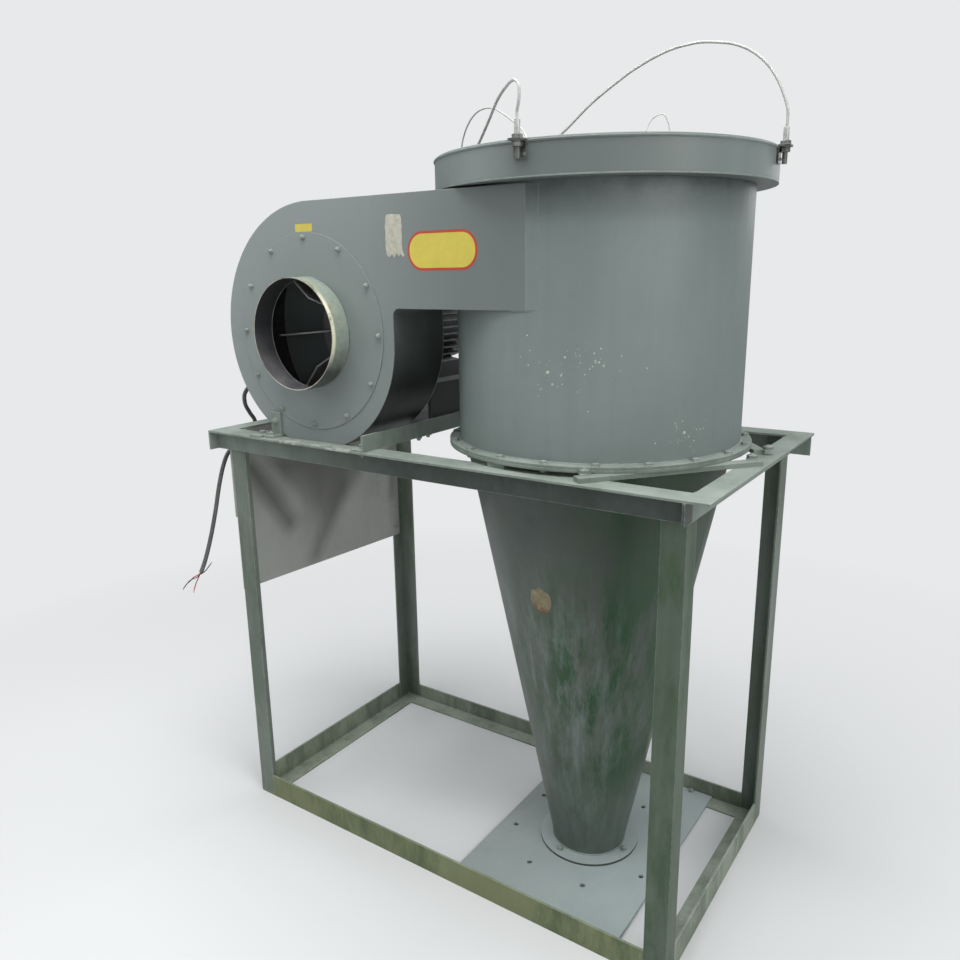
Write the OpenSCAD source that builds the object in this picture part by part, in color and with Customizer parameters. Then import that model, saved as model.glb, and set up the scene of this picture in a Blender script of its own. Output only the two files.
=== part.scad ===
// Cyclone separator with a blower on an angle-iron stand.
// Millimetres, Z up, floor at Z = 0. The stand's outline is drawn from its own
// front left corner and then moved so the part is centred over the origin.

/* [Stand] */
// Outer width of the top frame, left to right
frame_w = 1330; // [1300:5:1400]
// Room between the drum and the frame's front and back edges
frame_side = 48; // [45:1:73]
// Height of the top frame's upper face above the floor
frame_h = 1060; // [1000:5:1200]
// Width of the angle iron's flanges
angle_w = 50; // [44:1:52]
// Thickness of the angle iron
angle_t = 5; // [4:0.5:6]
// Width of the front and back rails' flat faces
rail_face_w = 57; // [54:1:60]
// Distance of the legs' outer faces from the left and right edges
leg_inset_x = 50; // [46:1:56]
// Distance of the legs' outer faces from the front and back edges
leg_inset_y = 30; // [26:1:32]
// Height of the front and side bottom rails' upright flanges
bottom_rail_h = 64; // [50:1:76]
// Height of the back bottom rail's upright flange
bottom_rail_back_h = 50; // [44:1:76]
// Distance of the cross rails' outer faces from the blower's shaft
cross_rail_gap = 189; // [186:1:196]
// Width of the cross rails' flanges
cross_w = 38; // [34:1:40]

/* [Outlet plate] */
// Distance of the outlet plate's left edge from the cyclone's axis
plate_left = 218; // [204:1:232]
// Width of the outlet plate
plate_w = 435; // [425:1:450]
// Thickness of the outlet plate
plate_t = 6; // [4:0.5:8]
// Pitch circle of the free bolt holes round the outlet
plate_pcd = 388; // [376:2:392]
// Diameter of the free bolt holes
plate_hole_d = 13; // [10:1:16]

/* [Cone] */
// Distance of the cyclone's axis from the right edge of the frame
cyclone_right = 397; // [389:1:405]
// Outer radius of the cone's lower end
cone_low_r = 90; // [80:1:98]
// Step inwards from the drum to the cone's upper end
cone_step = 13; // [11:1:21]
// Wall thickness of the cone and the drum
shell_t = 3; // [2:0.5:4]
// Radius of the cone's outlet flange
outlet_flange_r = 126; // [120:1:132]
// Thickness of the round flanges
flange_t = 6; // [5:0.5:7]

/* [Drum] */
// Outer radius of the drum
drum_r = 317; // [305:1:325]
// Width of the bolted flanges outside the drum
drum_flange_w = 23; // [19:1:29]
// Overhang of the ring and roof outside the drum
ring_over = 42; // [35:1:49]
// Height of the ring
ring_h = 64; // [50:1:80]
// Outer radius of the inner outlet tube
vortex_r = 140; // [120:1:150]
// Depth of the inner outlet tube below the roof
vortex_depth = 330; // [200:5:400]

/* [Blower] */
// Depth of the blower casing, front to back
blower_d = 179; // [170:1:184]
// Distance of the blower's shaft from the cyclone's axis
shaft_gap = 587; // [584:1:592]
// Radius of the casing's first quarter, next to the outlet duct
scroll_r = 257; // [248:1:265]
// Growth of the casing's radius at each quarter turn
scroll_step = 17; // [14:1:18]
// Depth of the casing's round underside that is cut flat on the frame
scroll_sink = 17; // [14:1:20]
// Thickness of the blower's sheet metal
sheet_t = 2; // [2:0.25:2.5]
// Height of the outlet duct
duct_h = 233; // [220:1:240]
// Radius of the corner between casing and duct
corner_r = 16; // [8:1:24]
// Margin between the bolted inlet plate and the casing's edge
plate_margin = 31; // [29:1:35]
// Outer radius of the inlet collar
collar_r = 127; // [110:1:130]
// Length of the inlet collar in front of the casing
collar_len = 55; // [50:1:80]
// Radius of the fan wheel
wheel_r = 205; // [180:1:215]
// Depth of the fan wheel's blades
blade_d = 70; // [60:1:100]
// Radius where the blades' front edges start to slope back to the hub
eye_r = 119; // [110:1:130]
// Number of blades
blade_n = 8; // [6:1:10]
// Diameter of the motor shaft
shaft_d = 28; // [24:1:32]

/* [Motor] */
// Radius of the motor's body under the fins
motor_r = 104; // [96:1:110]
// Length of the motor's body
motor_len = 290; // [260:5:310]
// Height of the fins
fin_h = 9; // [6:1:12]
// Distance from fin to fin
fin_pitch = 17.3; // [15:0.1:18]
// Length of the cowl over the motor's own fan
cowl_len = 60; // [50:1:70]
// Length of the terminal box along the motor
box_len = 110; // [90:1:120]
// Height of the terminal box
box_h = 90; // [80:1:100]
// Length of the pedestal under the motor
pedestal_len = 230; // [225:1:240]

/* [Trim] */
// Width of the flat bars under the drum flange
bar_w = 25; // [20:1:30]
// Thickness of the flat bars
bar_t = 10; // [8:0.5:12]
// Reach of the front flat bar towards the front rail
bar_front_out = 195; // [190:1:200]
// Reach of the front flat bar towards the right rail
bar_front_in = 212; // [205:1:215]
// Reach of the back flat bar towards the right rail
bar_back_in = 165; // [160:1:172]
// Reach of the back flat bar towards the back rail
bar_back_out = 195; // [190:1:200]
// Height of the sheet panel on the left side
panel_h = 443; // [400:1:480]
// Diameter of the lifting cables
cable_d = 6; // [5:0.5:8]
// Diameter of the thin wire loop
wire_d = 4; // [3:0.5:5]
// Diameter of the power cord
cord_d = 11; // [9:0.5:13]

/* [Hidden] */
$fn = 96;
frame_d = 2 * (drum_r + frame_side);
cone_top_r = drum_r - cone_step;
drum_flange_r = drum_r + drum_flange_w;
ring_r = drum_r + ring_over;
cyclone_x = frame_w - cyclone_right;
cyclone_y = frame_d / 2;
// The duct's top edge lies just under the roof, its front wall flush with the drum
roof_gap = 4;
duct_top = frame_h + 2 * scroll_r + 3 * scroll_step - scroll_sink;
roof_z = duct_top + roof_gap;
blower_y = cyclone_y - drum_r - sheet_t;
shaft_x = cyclone_x - shaft_gap;
ox = frame_w / 2;
oy = (frame_d + blower_y - collar_len) / 2;
cross_rail_x = shaft_x + cross_rail_gap;
plate_x = cyclone_x - plate_left;
flange_z = frame_h + bar_t;
drum_z = flange_z + 2 * flange_t;
plate_z = angle_t;
cone_z = plate_z + plate_t;
duct_low = duct_top - duct_h;
inlet_plate_r = scroll_r - plate_margin;
blower_back = blower_y + blower_d;
duct_right = cyclone_x;
// Centres of the casing's three quarter arcs
q1x = shaft_x - 2;
q1z = duct_top - 3 * scroll_step - scroll_r;
q2z = q1z + scroll_step;
q3x = q1x + scroll_step;
shaft_z = q2z - 1;
foot_h = 29;
pad_x = 86;
pad_w = 40;
pad_d = 20;
bead_r = 3;
plinth_t = 6;
gland_len = 14;
pedestal_y = blower_back + 36;
pedestal_top = shaft_z - motor_r - foot_h;
r2 = scroll_r + scroll_step;
r3 = scroll_r + 2 * scroll_step;
// Left end of the casing at the height of the left cross rail's upper face
scroll_left = q3x - sqrt(pow(r3, 2) - pow(q2z - frame_h - angle_t, 2));
cross_rail_left_x = scroll_left - cross_w - 20;
bracket_x = cross_rail_left_x + cross_w + 3;
bracket_w = 32;
pedestal_x = cross_rail_left_x + angle_t + 3;
pedestal_w = cross_rail_x - angle_t - 3 - pedestal_x;
panel_t = 3;
// The side panel lies outside the front leg and inside the back one
panel_turn = atan((panel_t + angle_t + 1.1) / (frame_d - 2 * leg_inset_y - angle_w));
// Heights of the loose cable ends, measured from the ring's upper edge
cable_rest = shell_t - ring_h + cable_d / 2 + 0.7;
wire_rest = shell_t - ring_h + wire_d / 2 + 0.7;
steel = [0.44, 0.48, 0.46];
dark = [0.2, 0.21, 0.21];
bright = [0.7, 0.7, 0.7];

// Moves a shape from the frame's corner to the part's own origin
module placed() {
  translate([-ox, -oy, 0]) children();
}

// Sweeps a round section along a smooth route
function mixp(a, b, c, d, t) =
  0.5 * ((2 * b) + (c - a) * t + (2 * a - 5 * b + 4 * c - d) * t * t
  + (3 * b - a - 3 * c + d) * t * t * t);
function smooth(p, n) = [
  for (i = [0 : len(p) - 2]) for (k = [0 : n - 1])
    mixp(p[max(i - 1, 0)], p[i], p[i + 1], p[min(i + 2, len(p) - 1)], k / n),
  p[len(p) - 1]];
function unit(v) = v / norm(v);
function tang(p, i) = unit(p[min(i + 1, len(p) - 1)] - p[max(i - 1, 0)]);
module swept(route, n, r, sides, side_hint) {
  p = smooth(route, n);
  m = len(p);
  pts = [for (i = [0 : m - 1]) let (t = tang(p, i),
      u = unit(cross(t, side_hint)), v = cross(t, u))
    for (k = [0 : sides - 1]) p[i] + r * (cos(360 * k / sides) * u + sin(360 * k / sides) * v)];
  walls = [for (i = [0 : m - 2]) for (k = [0 : sides - 1])
    [i * sides + k, i * sides + (k + 1) % sides,
     (i + 1) * sides + (k + 1) % sides, (i + 1) * sides + k]];
  first = [for (k = [0 : sides - 1]) sides - 1 - k];
  last = [for (k = [0 : sides - 1]) (m - 1) * sides + k];
  polyhedron(points = pts, faces = concat(walls, [first], [last]), convexity = 4);
}

module top_rail_front() {
  color(steel) placed() {
    translate([0, 0, frame_h - angle_t]) cube([frame_w, rail_face_w, angle_t]);
    translate([angle_t, leg_inset_y - angle_t, frame_h - angle_w])
      cube([frame_w - leg_inset_x - angle_t, angle_t, angle_w - angle_t]);
  }
}

module top_rail_back() {
  color(steel) placed() {
    translate([0, frame_d - rail_face_w, frame_h - angle_t])
      cube([frame_w, rail_face_w, angle_t]);
    translate([angle_t, frame_d - leg_inset_y, frame_h - angle_w])
      cube([frame_w - angle_t, angle_t, angle_w - angle_t]);
  }
}

module top_rail_left() {
  color(steel) placed() {
    translate([0, rail_face_w, frame_h - angle_t])
      cube([angle_w, frame_d - 2 * rail_face_w, angle_t]);
    translate([0, 0, frame_h - angle_w])
      cube([angle_t, frame_d, angle_w - angle_t]);
  }
}

module top_rail_right() {
  color(steel) placed() {
    translate([frame_w - angle_w, rail_face_w, frame_h - angle_t])
      cube([angle_w, frame_d - 2 * rail_face_w, angle_t]);
    translate([frame_w - leg_inset_x, 0, frame_h - angle_w])
      cube([angle_t, frame_d - leg_inset_y, angle_w - angle_t]);
  }
}

module leg() {
  cube([angle_w, angle_t, frame_h - angle_t - angle_t]);
  cube([angle_t, angle_w, frame_h - angle_t - angle_t]);
}

module leg_front_left() {
  color(steel) placed() translate([leg_inset_x, leg_inset_y, angle_t]) leg();
}

module leg_front_right() {
  color(steel) placed() translate([frame_w - leg_inset_x, leg_inset_y, angle_t])
    mirror([1, 0, 0]) leg();
}

module leg_back_left() {
  color(steel) placed() translate([leg_inset_x, frame_d - leg_inset_y, angle_t])
    mirror([0, 1, 0]) leg();
}

module leg_back_right() {
  color(steel) placed() translate([frame_w - leg_inset_x, frame_d - leg_inset_y, angle_t])
    mirror([0, 1, 0]) mirror([1, 0, 0]) leg();
}

// One bottom rail along X, upright flange on its outer side
module bottom_rail(len, h) {
  cube([len, angle_w, angle_t]);
  translate([angle_w, 0, angle_t]) cube([len - 2 * angle_w, angle_t, h - angle_t]);
}

module bottom_rail_front() {
  color(steel) placed() translate([leg_inset_x, leg_inset_y, 0])
    bottom_rail(frame_w - 2 * leg_inset_x, bottom_rail_h);
}

module bottom_rail_back() {
  color(steel) placed() translate([leg_inset_x, frame_d - leg_inset_y, 0])
    mirror([0, 1, 0]) bottom_rail(frame_w - 2 * leg_inset_x, bottom_rail_back_h);
}

module side_rail() {
  d = frame_d - 2 * leg_inset_y;
  translate([0, angle_w, 0]) cube([angle_w, d - 2 * angle_w, angle_t]);
  translate([0, angle_w, angle_t]) cube([angle_t, d - 2 * angle_w, bottom_rail_h - angle_t]);
}

module bottom_rail_left() {
  color(steel) placed() translate([leg_inset_x, leg_inset_y, 0]) side_rail();
}

module bottom_rail_right() {
  color(steel) placed() translate([frame_w - leg_inset_x, leg_inset_y, 0])
    mirror([1, 0, 0]) side_rail();
}

// One angle across the top frame, upright flange on its outer side
module cross_rail() {
  translate([0, 2, frame_h]) cube([cross_w, frame_d - 4, angle_t]);
  translate([0, 2, frame_h + angle_t]) cube([angle_t, frame_d - 4, cross_w - angle_t]);
}

module cross_rail_right() {
  color(steel) placed() translate([cross_rail_x, 0, 0]) mirror([1, 0, 0]) cross_rail();
}

// The left one has its web turned down between the top rails
module cross_rail_left() {
  color(steel) placed() translate([cross_rail_left_x, 0, frame_h]) {
    translate([0, 2, 0]) cube([cross_w, frame_d - 4, angle_t]);
    translate([0, rail_face_w + 2, angle_t - cross_w])
      cube([angle_t, frame_d - 2 * rail_face_w - 4, cross_w - angle_t]);
  }
}

module outlet_plate() {
  color(steel) placed() difference() {
    translate([plate_x, leg_inset_y + angle_t + 3, plate_z])
      cube([plate_w, frame_d - 2 * (leg_inset_y + angle_t + 3), plate_t]);
    translate([cyclone_x, cyclone_y, plate_z - 1])
      cylinder(r = cone_low_r - shell_t, h = plate_t + 2);
    for (k = [0 : 7]) translate([cyclone_x, cyclone_y, plate_z - 1])
      rotate([0, 0, 22.5 + 45 * k]) translate([plate_pcd / 2, 0, 0])
        cylinder(d = plate_hole_d, h = plate_t + 2, $fn = 32);
  }
}

module cone() {
  color(steel) placed() translate([cyclone_x, cyclone_y, cone_z]) difference() {
    cylinder(r1 = cone_low_r, r2 = cone_top_r, h = flange_z + flange_t - cone_z);
    translate([0, 0, -0.01])
      cylinder(r1 = cone_low_r - shell_t, r2 = cone_top_r - shell_t,
        h = flange_z + flange_t - cone_z + 0.02);
  }
}

module outlet_flange() {
  color(steel) placed() translate([cyclone_x, cyclone_y, cone_z]) difference() {
    cylinder(r = outlet_flange_r, h = flange_t);
    translate([0, 0, -1]) cylinder(r = cone_low_r + 2, h = flange_t + 2);
  }
}

module cone_flange() {
  color(steel) placed() translate([cyclone_x, cyclone_y, flange_z]) difference() {
    cylinder(r = drum_flange_r, h = flange_t);
    translate([0, 0, -1]) cylinder(r = cone_top_r + 0.2, h = flange_t + 2);
  }
}

module drum() {
  color(steel) placed() difference() {
    translate([cyclone_x, cyclone_y, flange_z + flange_t])
      cylinder(r = drum_r, h = roof_z - flange_z - flange_t);
    translate([cyclone_x, cyclone_y, flange_z])
      cylinder(r = drum_r - shell_t, h = roof_z - flange_z + 10);
    translate([cyclone_x - drum_r - 5, blower_y + sheet_t, duct_low + sheet_t])
      cube([drum_r + 5, blower_d - 2 * sheet_t, duct_h - 2 * sheet_t]);
  }
}

module drum_flange() {
  color(steel) placed() translate([cyclone_x, cyclone_y, flange_z + flange_t]) difference() {
    cylinder(r = drum_flange_r, h = flange_t);
    translate([0, 0, -1]) cylinder(r = drum_r, h = flange_t + 2);
  }
}

module roof_plate() {
  color(steel) placed() translate([cyclone_x, cyclone_y, roof_z]) difference() {
    cylinder(r = ring_r, h = shell_t);
    translate([0, 0, -1]) cylinder(r = vortex_r, h = shell_t + 2);
  }
}

module vortex_tube() {
  color(steel) placed() translate([cyclone_x, cyclone_y, roof_z + shell_t - vortex_depth])
    difference() {
      cylinder(r = vortex_r, h = vortex_depth);
      translate([0, 0, -1]) cylinder(r = vortex_r - shell_t, h = vortex_depth + 2);
    }
}

module top_ring() {
  color(steel) placed() translate([cyclone_x, cyclone_y, roof_z + shell_t]) difference() {
    cylinder(r = ring_r, h = ring_h - shell_t);
    translate([0, 0, -1]) cylinder(r = ring_r - shell_t, h = ring_h + 2);
  }
  color(steel) placed() translate([cyclone_x, cyclone_y, roof_z + ring_h])
    rotate_extrude() translate([ring_r - bead_r, 0]) circle(r = bead_r, $fn = 16);
}

// Flat bar along a chord beside the cone, carrying the flange
module chord_bar(turn, back, ahead) {
  translate([cyclone_x, cyclone_y, frame_h]) rotate([0, 0, turn])
    translate([cone_top_r + 2, -back, 0]) cube([bar_w, back + ahead, bar_t]);
}

module corner_bar_front() {
  color(steel) placed() chord_bar(-38, bar_front_out, bar_front_in);
}

module corner_bar_back() {
  color(steel) placed() chord_bar(38, bar_back_in, bar_back_out);
}

// Spacer pads between the flange and the front and back rails
module flange_pads() {
  color(steel) placed() for (s = [-1, 1])
    translate([cyclone_x - pad_x, cyclone_y + s * (cone_top_r + 4 + pad_d / 2) - pad_d / 2,
      frame_h]) cube([pad_w, pad_d, bar_t]);
}

// Casing outline in the X-Z plane, drawn as an X-Y shape
module scroll_shape(g) {
  intersection() {
    union() {
      translate([q1x, q1z]) intersection() {
        circle(r = scroll_r - g, $fn = 144);
        translate([0, -400]) square([400, 400]);
      }
      translate([q1x, q2z]) intersection() {
        circle(r = r2 - g, $fn = 144);
        translate([-400, -400]) square([400, 400]);
      }
      translate([q3x, q2z]) intersection() {
        circle(r = r3 - g, $fn = 144);
        translate([-400, 0]) square([400, 400]);
      }
      translate([q1x - 60, q1z - 60]) square([60, 120]);
      translate([q1x - 1, q1z - 1])
        square([scroll_r - g + 1, duct_top - g - q1z + 1]);
      translate([q1x - 40, q1z - 40]) square([100, 100]);
      translate([q1x - 200, q1z - 1]) square([220, scroll_step + 2]);
      translate([q1x - 1, q1z + 20])
        square([duct_right - q1x + 1, duct_top - g - q1z - 20]);
    }
    union() {
      translate([q3x - r3, frame_h + g]) square([q1x + scroll_r - g - q3x + r3, 3 * r3]);
      translate([q1x, duct_low + g]) square([duct_right - q1x, duct_h - 2 * g]);
      difference() {
        translate([q1x + scroll_r - g - 1, duct_low + g - corner_r])
          square([corner_r + 1, corner_r + 1]);
        translate([q1x + scroll_r - g + corner_r, duct_low + g - corner_r])
          circle(r = corner_r);
      }
    }
  }
}

module cast_scroll(y0, d, g) {
  translate([0, y0 + d, 0]) rotate([90, 0, 0]) linear_extrude(height = d) scroll_shape(g);
}

module scroll_front() {
  color(steel) placed() difference() {
    cast_scroll(blower_y, sheet_t, 0);
    translate([shaft_x, blower_y + sheet_t + 1, shaft_z]) rotate([90, 0, 0])
      cylinder(r = inlet_plate_r - 24, h = sheet_t + 2);
  }
}

module scroll_back() {
  color(steel) placed() difference() {
    cast_scroll(blower_back - sheet_t, sheet_t, 0);
    translate([shaft_x, blower_back + 1, shaft_z]) rotate([90, 0, 0])
      cylinder(r = shaft_d / 2 + 12, h = sheet_t + 2);
    translate([cyclone_x, cyclone_y, frame_h]) cylinder(r = drum_r, h = 800);
  }
}

module scroll_wrapper() {
  color(steel) placed() difference() {
    cast_scroll(blower_y + sheet_t, blower_d - 2 * sheet_t, 0);
    cast_scroll(blower_y + sheet_t - 1, blower_d - 2 * sheet_t + 2, sheet_t);
    translate([duct_right - 4, blower_y, duct_low + sheet_t])
      cube([8, blower_d, duct_h - 2 * sheet_t]);
    translate([cyclone_x, cyclone_y, frame_h]) cylinder(r = drum_r, h = 800);
  }
}

module inlet_plate() {
  color(steel) placed() translate([shaft_x, blower_y, shaft_z]) rotate([90, 0, 0])
    difference() {
      cylinder(r = inlet_plate_r, h = sheet_t);
      translate([0, 0, -1]) cylinder(r = collar_r - sheet_t, h = sheet_t + 2);
    }
}

module inlet_collar() {
  color(steel) placed() translate([shaft_x, blower_y - sheet_t, shaft_z]) rotate([90, 0, 0])
    difference() {
      cylinder(r = collar_r, h = collar_len - sheet_t);
      translate([0, 0, -1]) cylinder(r = collar_r - sheet_t, h = collar_len + 2);
    }
}

// Fan wheel: hub, back disc, radial blades and its shaft
module fan_wheel() {
  color(steel) placed() translate([shaft_x, blower_back - sheet_t - 14, shaft_z])
    rotate([90, 0, 0]) {
      cylinder(r = wheel_r * 0.55, h = 4);
      cylinder(r = 34, h = 40);
      for (k = [0 : blade_n - 1]) rotate([0, 0, 5 + 360 * k / blade_n]) rotate([90, 0, 0])
        linear_extrude(4, center = true)
          polygon([[30, 0], [wheel_r, 0], [wheel_r, blade_d], [eye_r, blade_d],
            [eye_r / 2, 8], [30, 8]]);
      translate([0, 0, -34]) cylinder(d = shaft_d, h = 60);
    }
}

// Motor body with lengthwise fins and a bore for the wheel's shaft
module motor() {
  color(dark) placed() translate([shaft_x, blower_back + 6, shaft_z]) rotate([-90, 0, 0])
    difference() {
      union() {
        cylinder(r = motor_r - 12, h = 22);
        translate([0, 0, 22]) cylinder(r = motor_r, h = motor_len - 22);
        for (k = [-5 : 4]) for (s = [-1, 1])
          translate([s > 0 ? motor_r * 0.5 : -motor_r - fin_h, (k + 0.5) * fin_pitch - 1.5, 30])
            cube([motor_r * 0.5 + fin_h, 3, motor_len - 40]);
        for (s = [0, 1]) mirror([s, 0, 0])
          translate([0, 0, 36]) linear_extrude(motor_len - 96)
            polygon([[56, 60], [84, 62], [motor_r, motor_r - 16], [motor_r + 26, motor_r - 12],
              [motor_r + 26, motor_r + foot_h], [56, motor_r + foot_h]]);
      }
      translate([0, 0, -1]) cylinder(d = shaft_d + 0.1, h = 30);
    }
}

// Cowl with a rounded rim and rings of grooves across its closed end
module fan_cover() {
  cowl_r = motor_r - 2;
  color(dark) placed() translate([shaft_x, blower_back + 6 + motor_len, shaft_z])
    rotate([-90, 0, 0]) rotate_extrude() difference() {
      intersection() {
        translate([-20, -20]) offset(r = 14) offset(delta = -14)
          square([cowl_r + 20, cowl_len + 20]);
        square([cowl_r, cowl_len]);
      }
      for (k = [0 : 4]) translate([cowl_r * (0.25 + 0.13 * k), cowl_len - 4]) square([5, 5]);
    }
}

// Box with a lid on its outer side and a gland for the cord
module terminal_box() {
  color(dark) placed()
    translate([shaft_x - motor_r - fin_h - 62, blower_back + 90, shaft_z - box_h / 2]) {
      translate([10, 4, 4]) cube([52, box_len - 8, box_h - 8]);
      cube([10, box_len, box_h]);
      translate([31, box_len / 2, -gland_len]) cylinder(r = 10, h = gland_len + 5, $fn = 48);
    }
}

module motor_pedestal() {
  color(steel) placed() {
    translate([pedestal_x, pedestal_y, frame_h + angle_t])
      cube([pedestal_w, pedestal_len, plinth_t]);
    for (x = [0, pedestal_w - 10])
      translate([pedestal_x + x, pedestal_y + 5, frame_h + angle_t + plinth_t])
        cube([10, pedestal_len - 10, pedestal_top - frame_h - angle_t - 2 * plinth_t]);
    translate([pedestal_x, pedestal_y, pedestal_top - plinth_t])
      cube([pedestal_w, pedestal_len, plinth_t]);
  }
}

module foot_bracket() {
  color(steel) placed() {
    translate([bracket_x, blower_y - 6, frame_h]) cube([bracket_w, 6, 60]);
    translate([bracket_x, blower_y - 34, frame_h]) cube([bracket_w, 28, 5]);
  }
}

module side_panel() {
  color(steel) placed() {
    translate([leg_inset_x - panel_t - 0.8, leg_inset_y + 0.2, frame_h - angle_t - panel_h])
      rotate([0, 0, -panel_turn])
        cube([panel_t, frame_d - 2 * leg_inset_y - angle_w / 2, panel_h]);
    translate([leg_inset_x - 9, leg_inset_y, frame_h - 235])
      cube([6, 3, 235 - angle_w]);
  }
}

// Bracket on the ring with a threaded stud and a swaged sleeve
module lug() {
  translate([0, -13, roof_z + ring_h - 3]) cube([25, 26, 4]);
  translate([0, -13, roof_z + ring_h - 33]) cube([4, 26, 30]);
  translate([13, 0, roof_z + ring_h - 34]) cylinder(r = 5, h = 32, $fn = 24);
  translate([13, 0, roof_z + ring_h + 0.5]) cylinder(r = 8.5, h = 7, $fn = 24);
  translate([13, 0, roof_z + ring_h + 7]) cylinder(r = 5.5, h = 25, $fn = 24);
}

module lug_front() {
  color(bright) placed() translate([cyclone_x, cyclone_y, 0])
    rotate([0, 0, -87.5]) translate([ring_r, 0, 0]) lug();
}

module lug_right() {
  color(bright) placed() translate([cyclone_x, cyclone_y, 0])
    rotate([0, 0, 5]) translate([ring_r, 0, 0]) lug();
}

module lug_left() {
  color(bright) placed() translate([cyclone_x, cyclone_y, 0])
    rotate([0, 0, 180]) translate([ring_r, 0, 0]) lug();
}

// Route points in ring radii, from the middle of the ring's upper edge
function in_radii(p) = [for (q = p) q * ring_r];

// A point outside the ring at a turn round it
function outside(turn, out, z) = [(ring_r + out) * cos(turn), (ring_r + out) * sin(turn), z];

module cable(route, r, hint) {
  color(bright) placed() translate([cyclone_x, cyclone_y, roof_z + ring_h])
    swept(route, 4, r, 8, hint);
}

// The lifting cables start on their lugs and end lying on the roof
module cable_front() {
  cable(concat([outside(-87.5, 13, 32.3), outside(-87.5, 13.5, 46)],
    in_radii([[0.069, -1.058, 0.17], [0.073, -1.061, 0.216], [0.058, -1.049, 0.249],
      [0.018, -1.016, 0.273], [-0.028, -0.978, 0.277], [-0.09, -0.927, 0.267],
      [-0.163, -0.866, 0.248], [-0.224, -0.816, 0.22], [-0.336, -0.723, 0.151],
      [-0.472, -0.612, 0.073], [-0.6, -0.506, 0.012], [-0.72, -0.407, -0.046]]),
    [[-0.82 * ring_r, -0.325 * ring_r, cable_rest + 14],
      [-0.87 * ring_r, -0.26 * ring_r, cable_rest + 2],
      [-0.885 * ring_r, -0.15 * ring_r, cable_rest]]), cable_d / 2, [1, 1, 0]);
}

module cable_right() {
  cable(concat([outside(5, 13, 32.3), outside(5, 13.5, 46)],
    in_radii([[1.031, 0.09, 0.175], [1.014, 0.089, 0.23], [0.982, 0.088, 0.305],
      [0.935, 0.086, 0.382], [0.883, 0.083, 0.44], [0.825, 0.08, 0.486],
      [0.767, 0.077, 0.518], [0.694, 0.074, 0.544], [0.563, 0.067, 0.567],
      [0.474, 0.063, 0.567], [0.383, 0.058, 0.556], [0.291, 0.054, 0.531],
      [0.198, 0.049, 0.495], [0.102, 0.045, 0.449], [-0.096, 0.035, 0.33],
      [-0.27, 0.026, 0.195], [-0.42, 0.018, 0.1], [-0.57, 0.012, 0.024],
      [-0.7, 0.007, -0.034]]),
    [[-0.808 * ring_r, 0, cable_rest + 27], [-0.886 * ring_r, 0, cable_rest + 9],
      [-0.947 * ring_r, 0, cable_rest]]), cable_d / 2, [0, 1, 0]);
}

module cable_left() {
  cable(concat([[-ring_r - 13, 0, 32.3], [-ring_r - 12.5, -2, 43]],
    in_radii([[-1.02, -0.013, 0.157], [-0.997, -0.032, 0.197], [-0.942, -0.076, 0.247],
      [-0.88, -0.125, 0.281], [-0.811, -0.181, 0.302], [-0.726, -0.249, 0.313],
      [-0.637, -0.321, 0.309], [-0.543, -0.396, 0.294], [-0.451, -0.47, 0.266],
      [-0.374, -0.532, 0.233], [-0.232, -0.646, 0.164], [-0.114, -0.741, 0.099],
      [-0.044, -0.797, 0.036], [-0.01, -0.825, -0.03]]),
    [[0.03 * ring_r, -0.85 * ring_r, wire_rest + 13],
      [0.11 * ring_r, -0.87 * ring_r, wire_rest]]), wire_d / 2, [1, 1, 0]);
}

// Loose cord from the motor's box, over the left rail and down in front
module power_cord() {
  color(dark) placed()
    swept([[shaft_x - motor_r - 40, blower_back + 90 + box_len / 2,
        shaft_z - box_h / 2 - gland_len - 0.5],
      [shaft_x - motor_r - 40, blower_back + 144, shaft_z - 78],
      [190, 350, 1207], [130, 290, 1192], [60, 215, 1182], [12, 160, 1168],
      [-7, 137, 1142], [-9, 134, 1112], [-9, 147, 1085], [-10, 163, 1060],
      [-13, 156, 1036], [-14, 126, 1016], [-13, 92, 1003], [-11, 64, 986],
      [-9, 42, 952], [-8, 22, 900], [-8, 6, 845], [-8, -16, 780], [-8, -40, 722],
      [-8, -60, 686]], 5, cord_d / 2, 8, [0, 1, 0.4]);
}

top_rail_front();
top_rail_back();
top_rail_left();
top_rail_right();
leg_front_left();
leg_front_right();
leg_back_left();
leg_back_right();
bottom_rail_front();
bottom_rail_back();
bottom_rail_left();
bottom_rail_right();
cross_rail_right();
cross_rail_left();
outlet_plate();
cone();
outlet_flange();
cone_flange();
drum();
drum_flange();
roof_plate();
vortex_tube();
top_ring();
corner_bar_front();
corner_bar_back();
flange_pads();
scroll_front();
scroll_back();
scroll_wrapper();
inlet_plate();
inlet_collar();
fan_wheel();
motor();
fan_cover();
terminal_box();
motor_pedestal();
foot_bracket();
side_panel();
lug_front();
lug_right();
lug_left();
cable_front();
cable_right();
cable_left();
power_cord();
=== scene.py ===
import math
import random

import bpy
from mathutils import Matrix, Vector, noise


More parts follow.
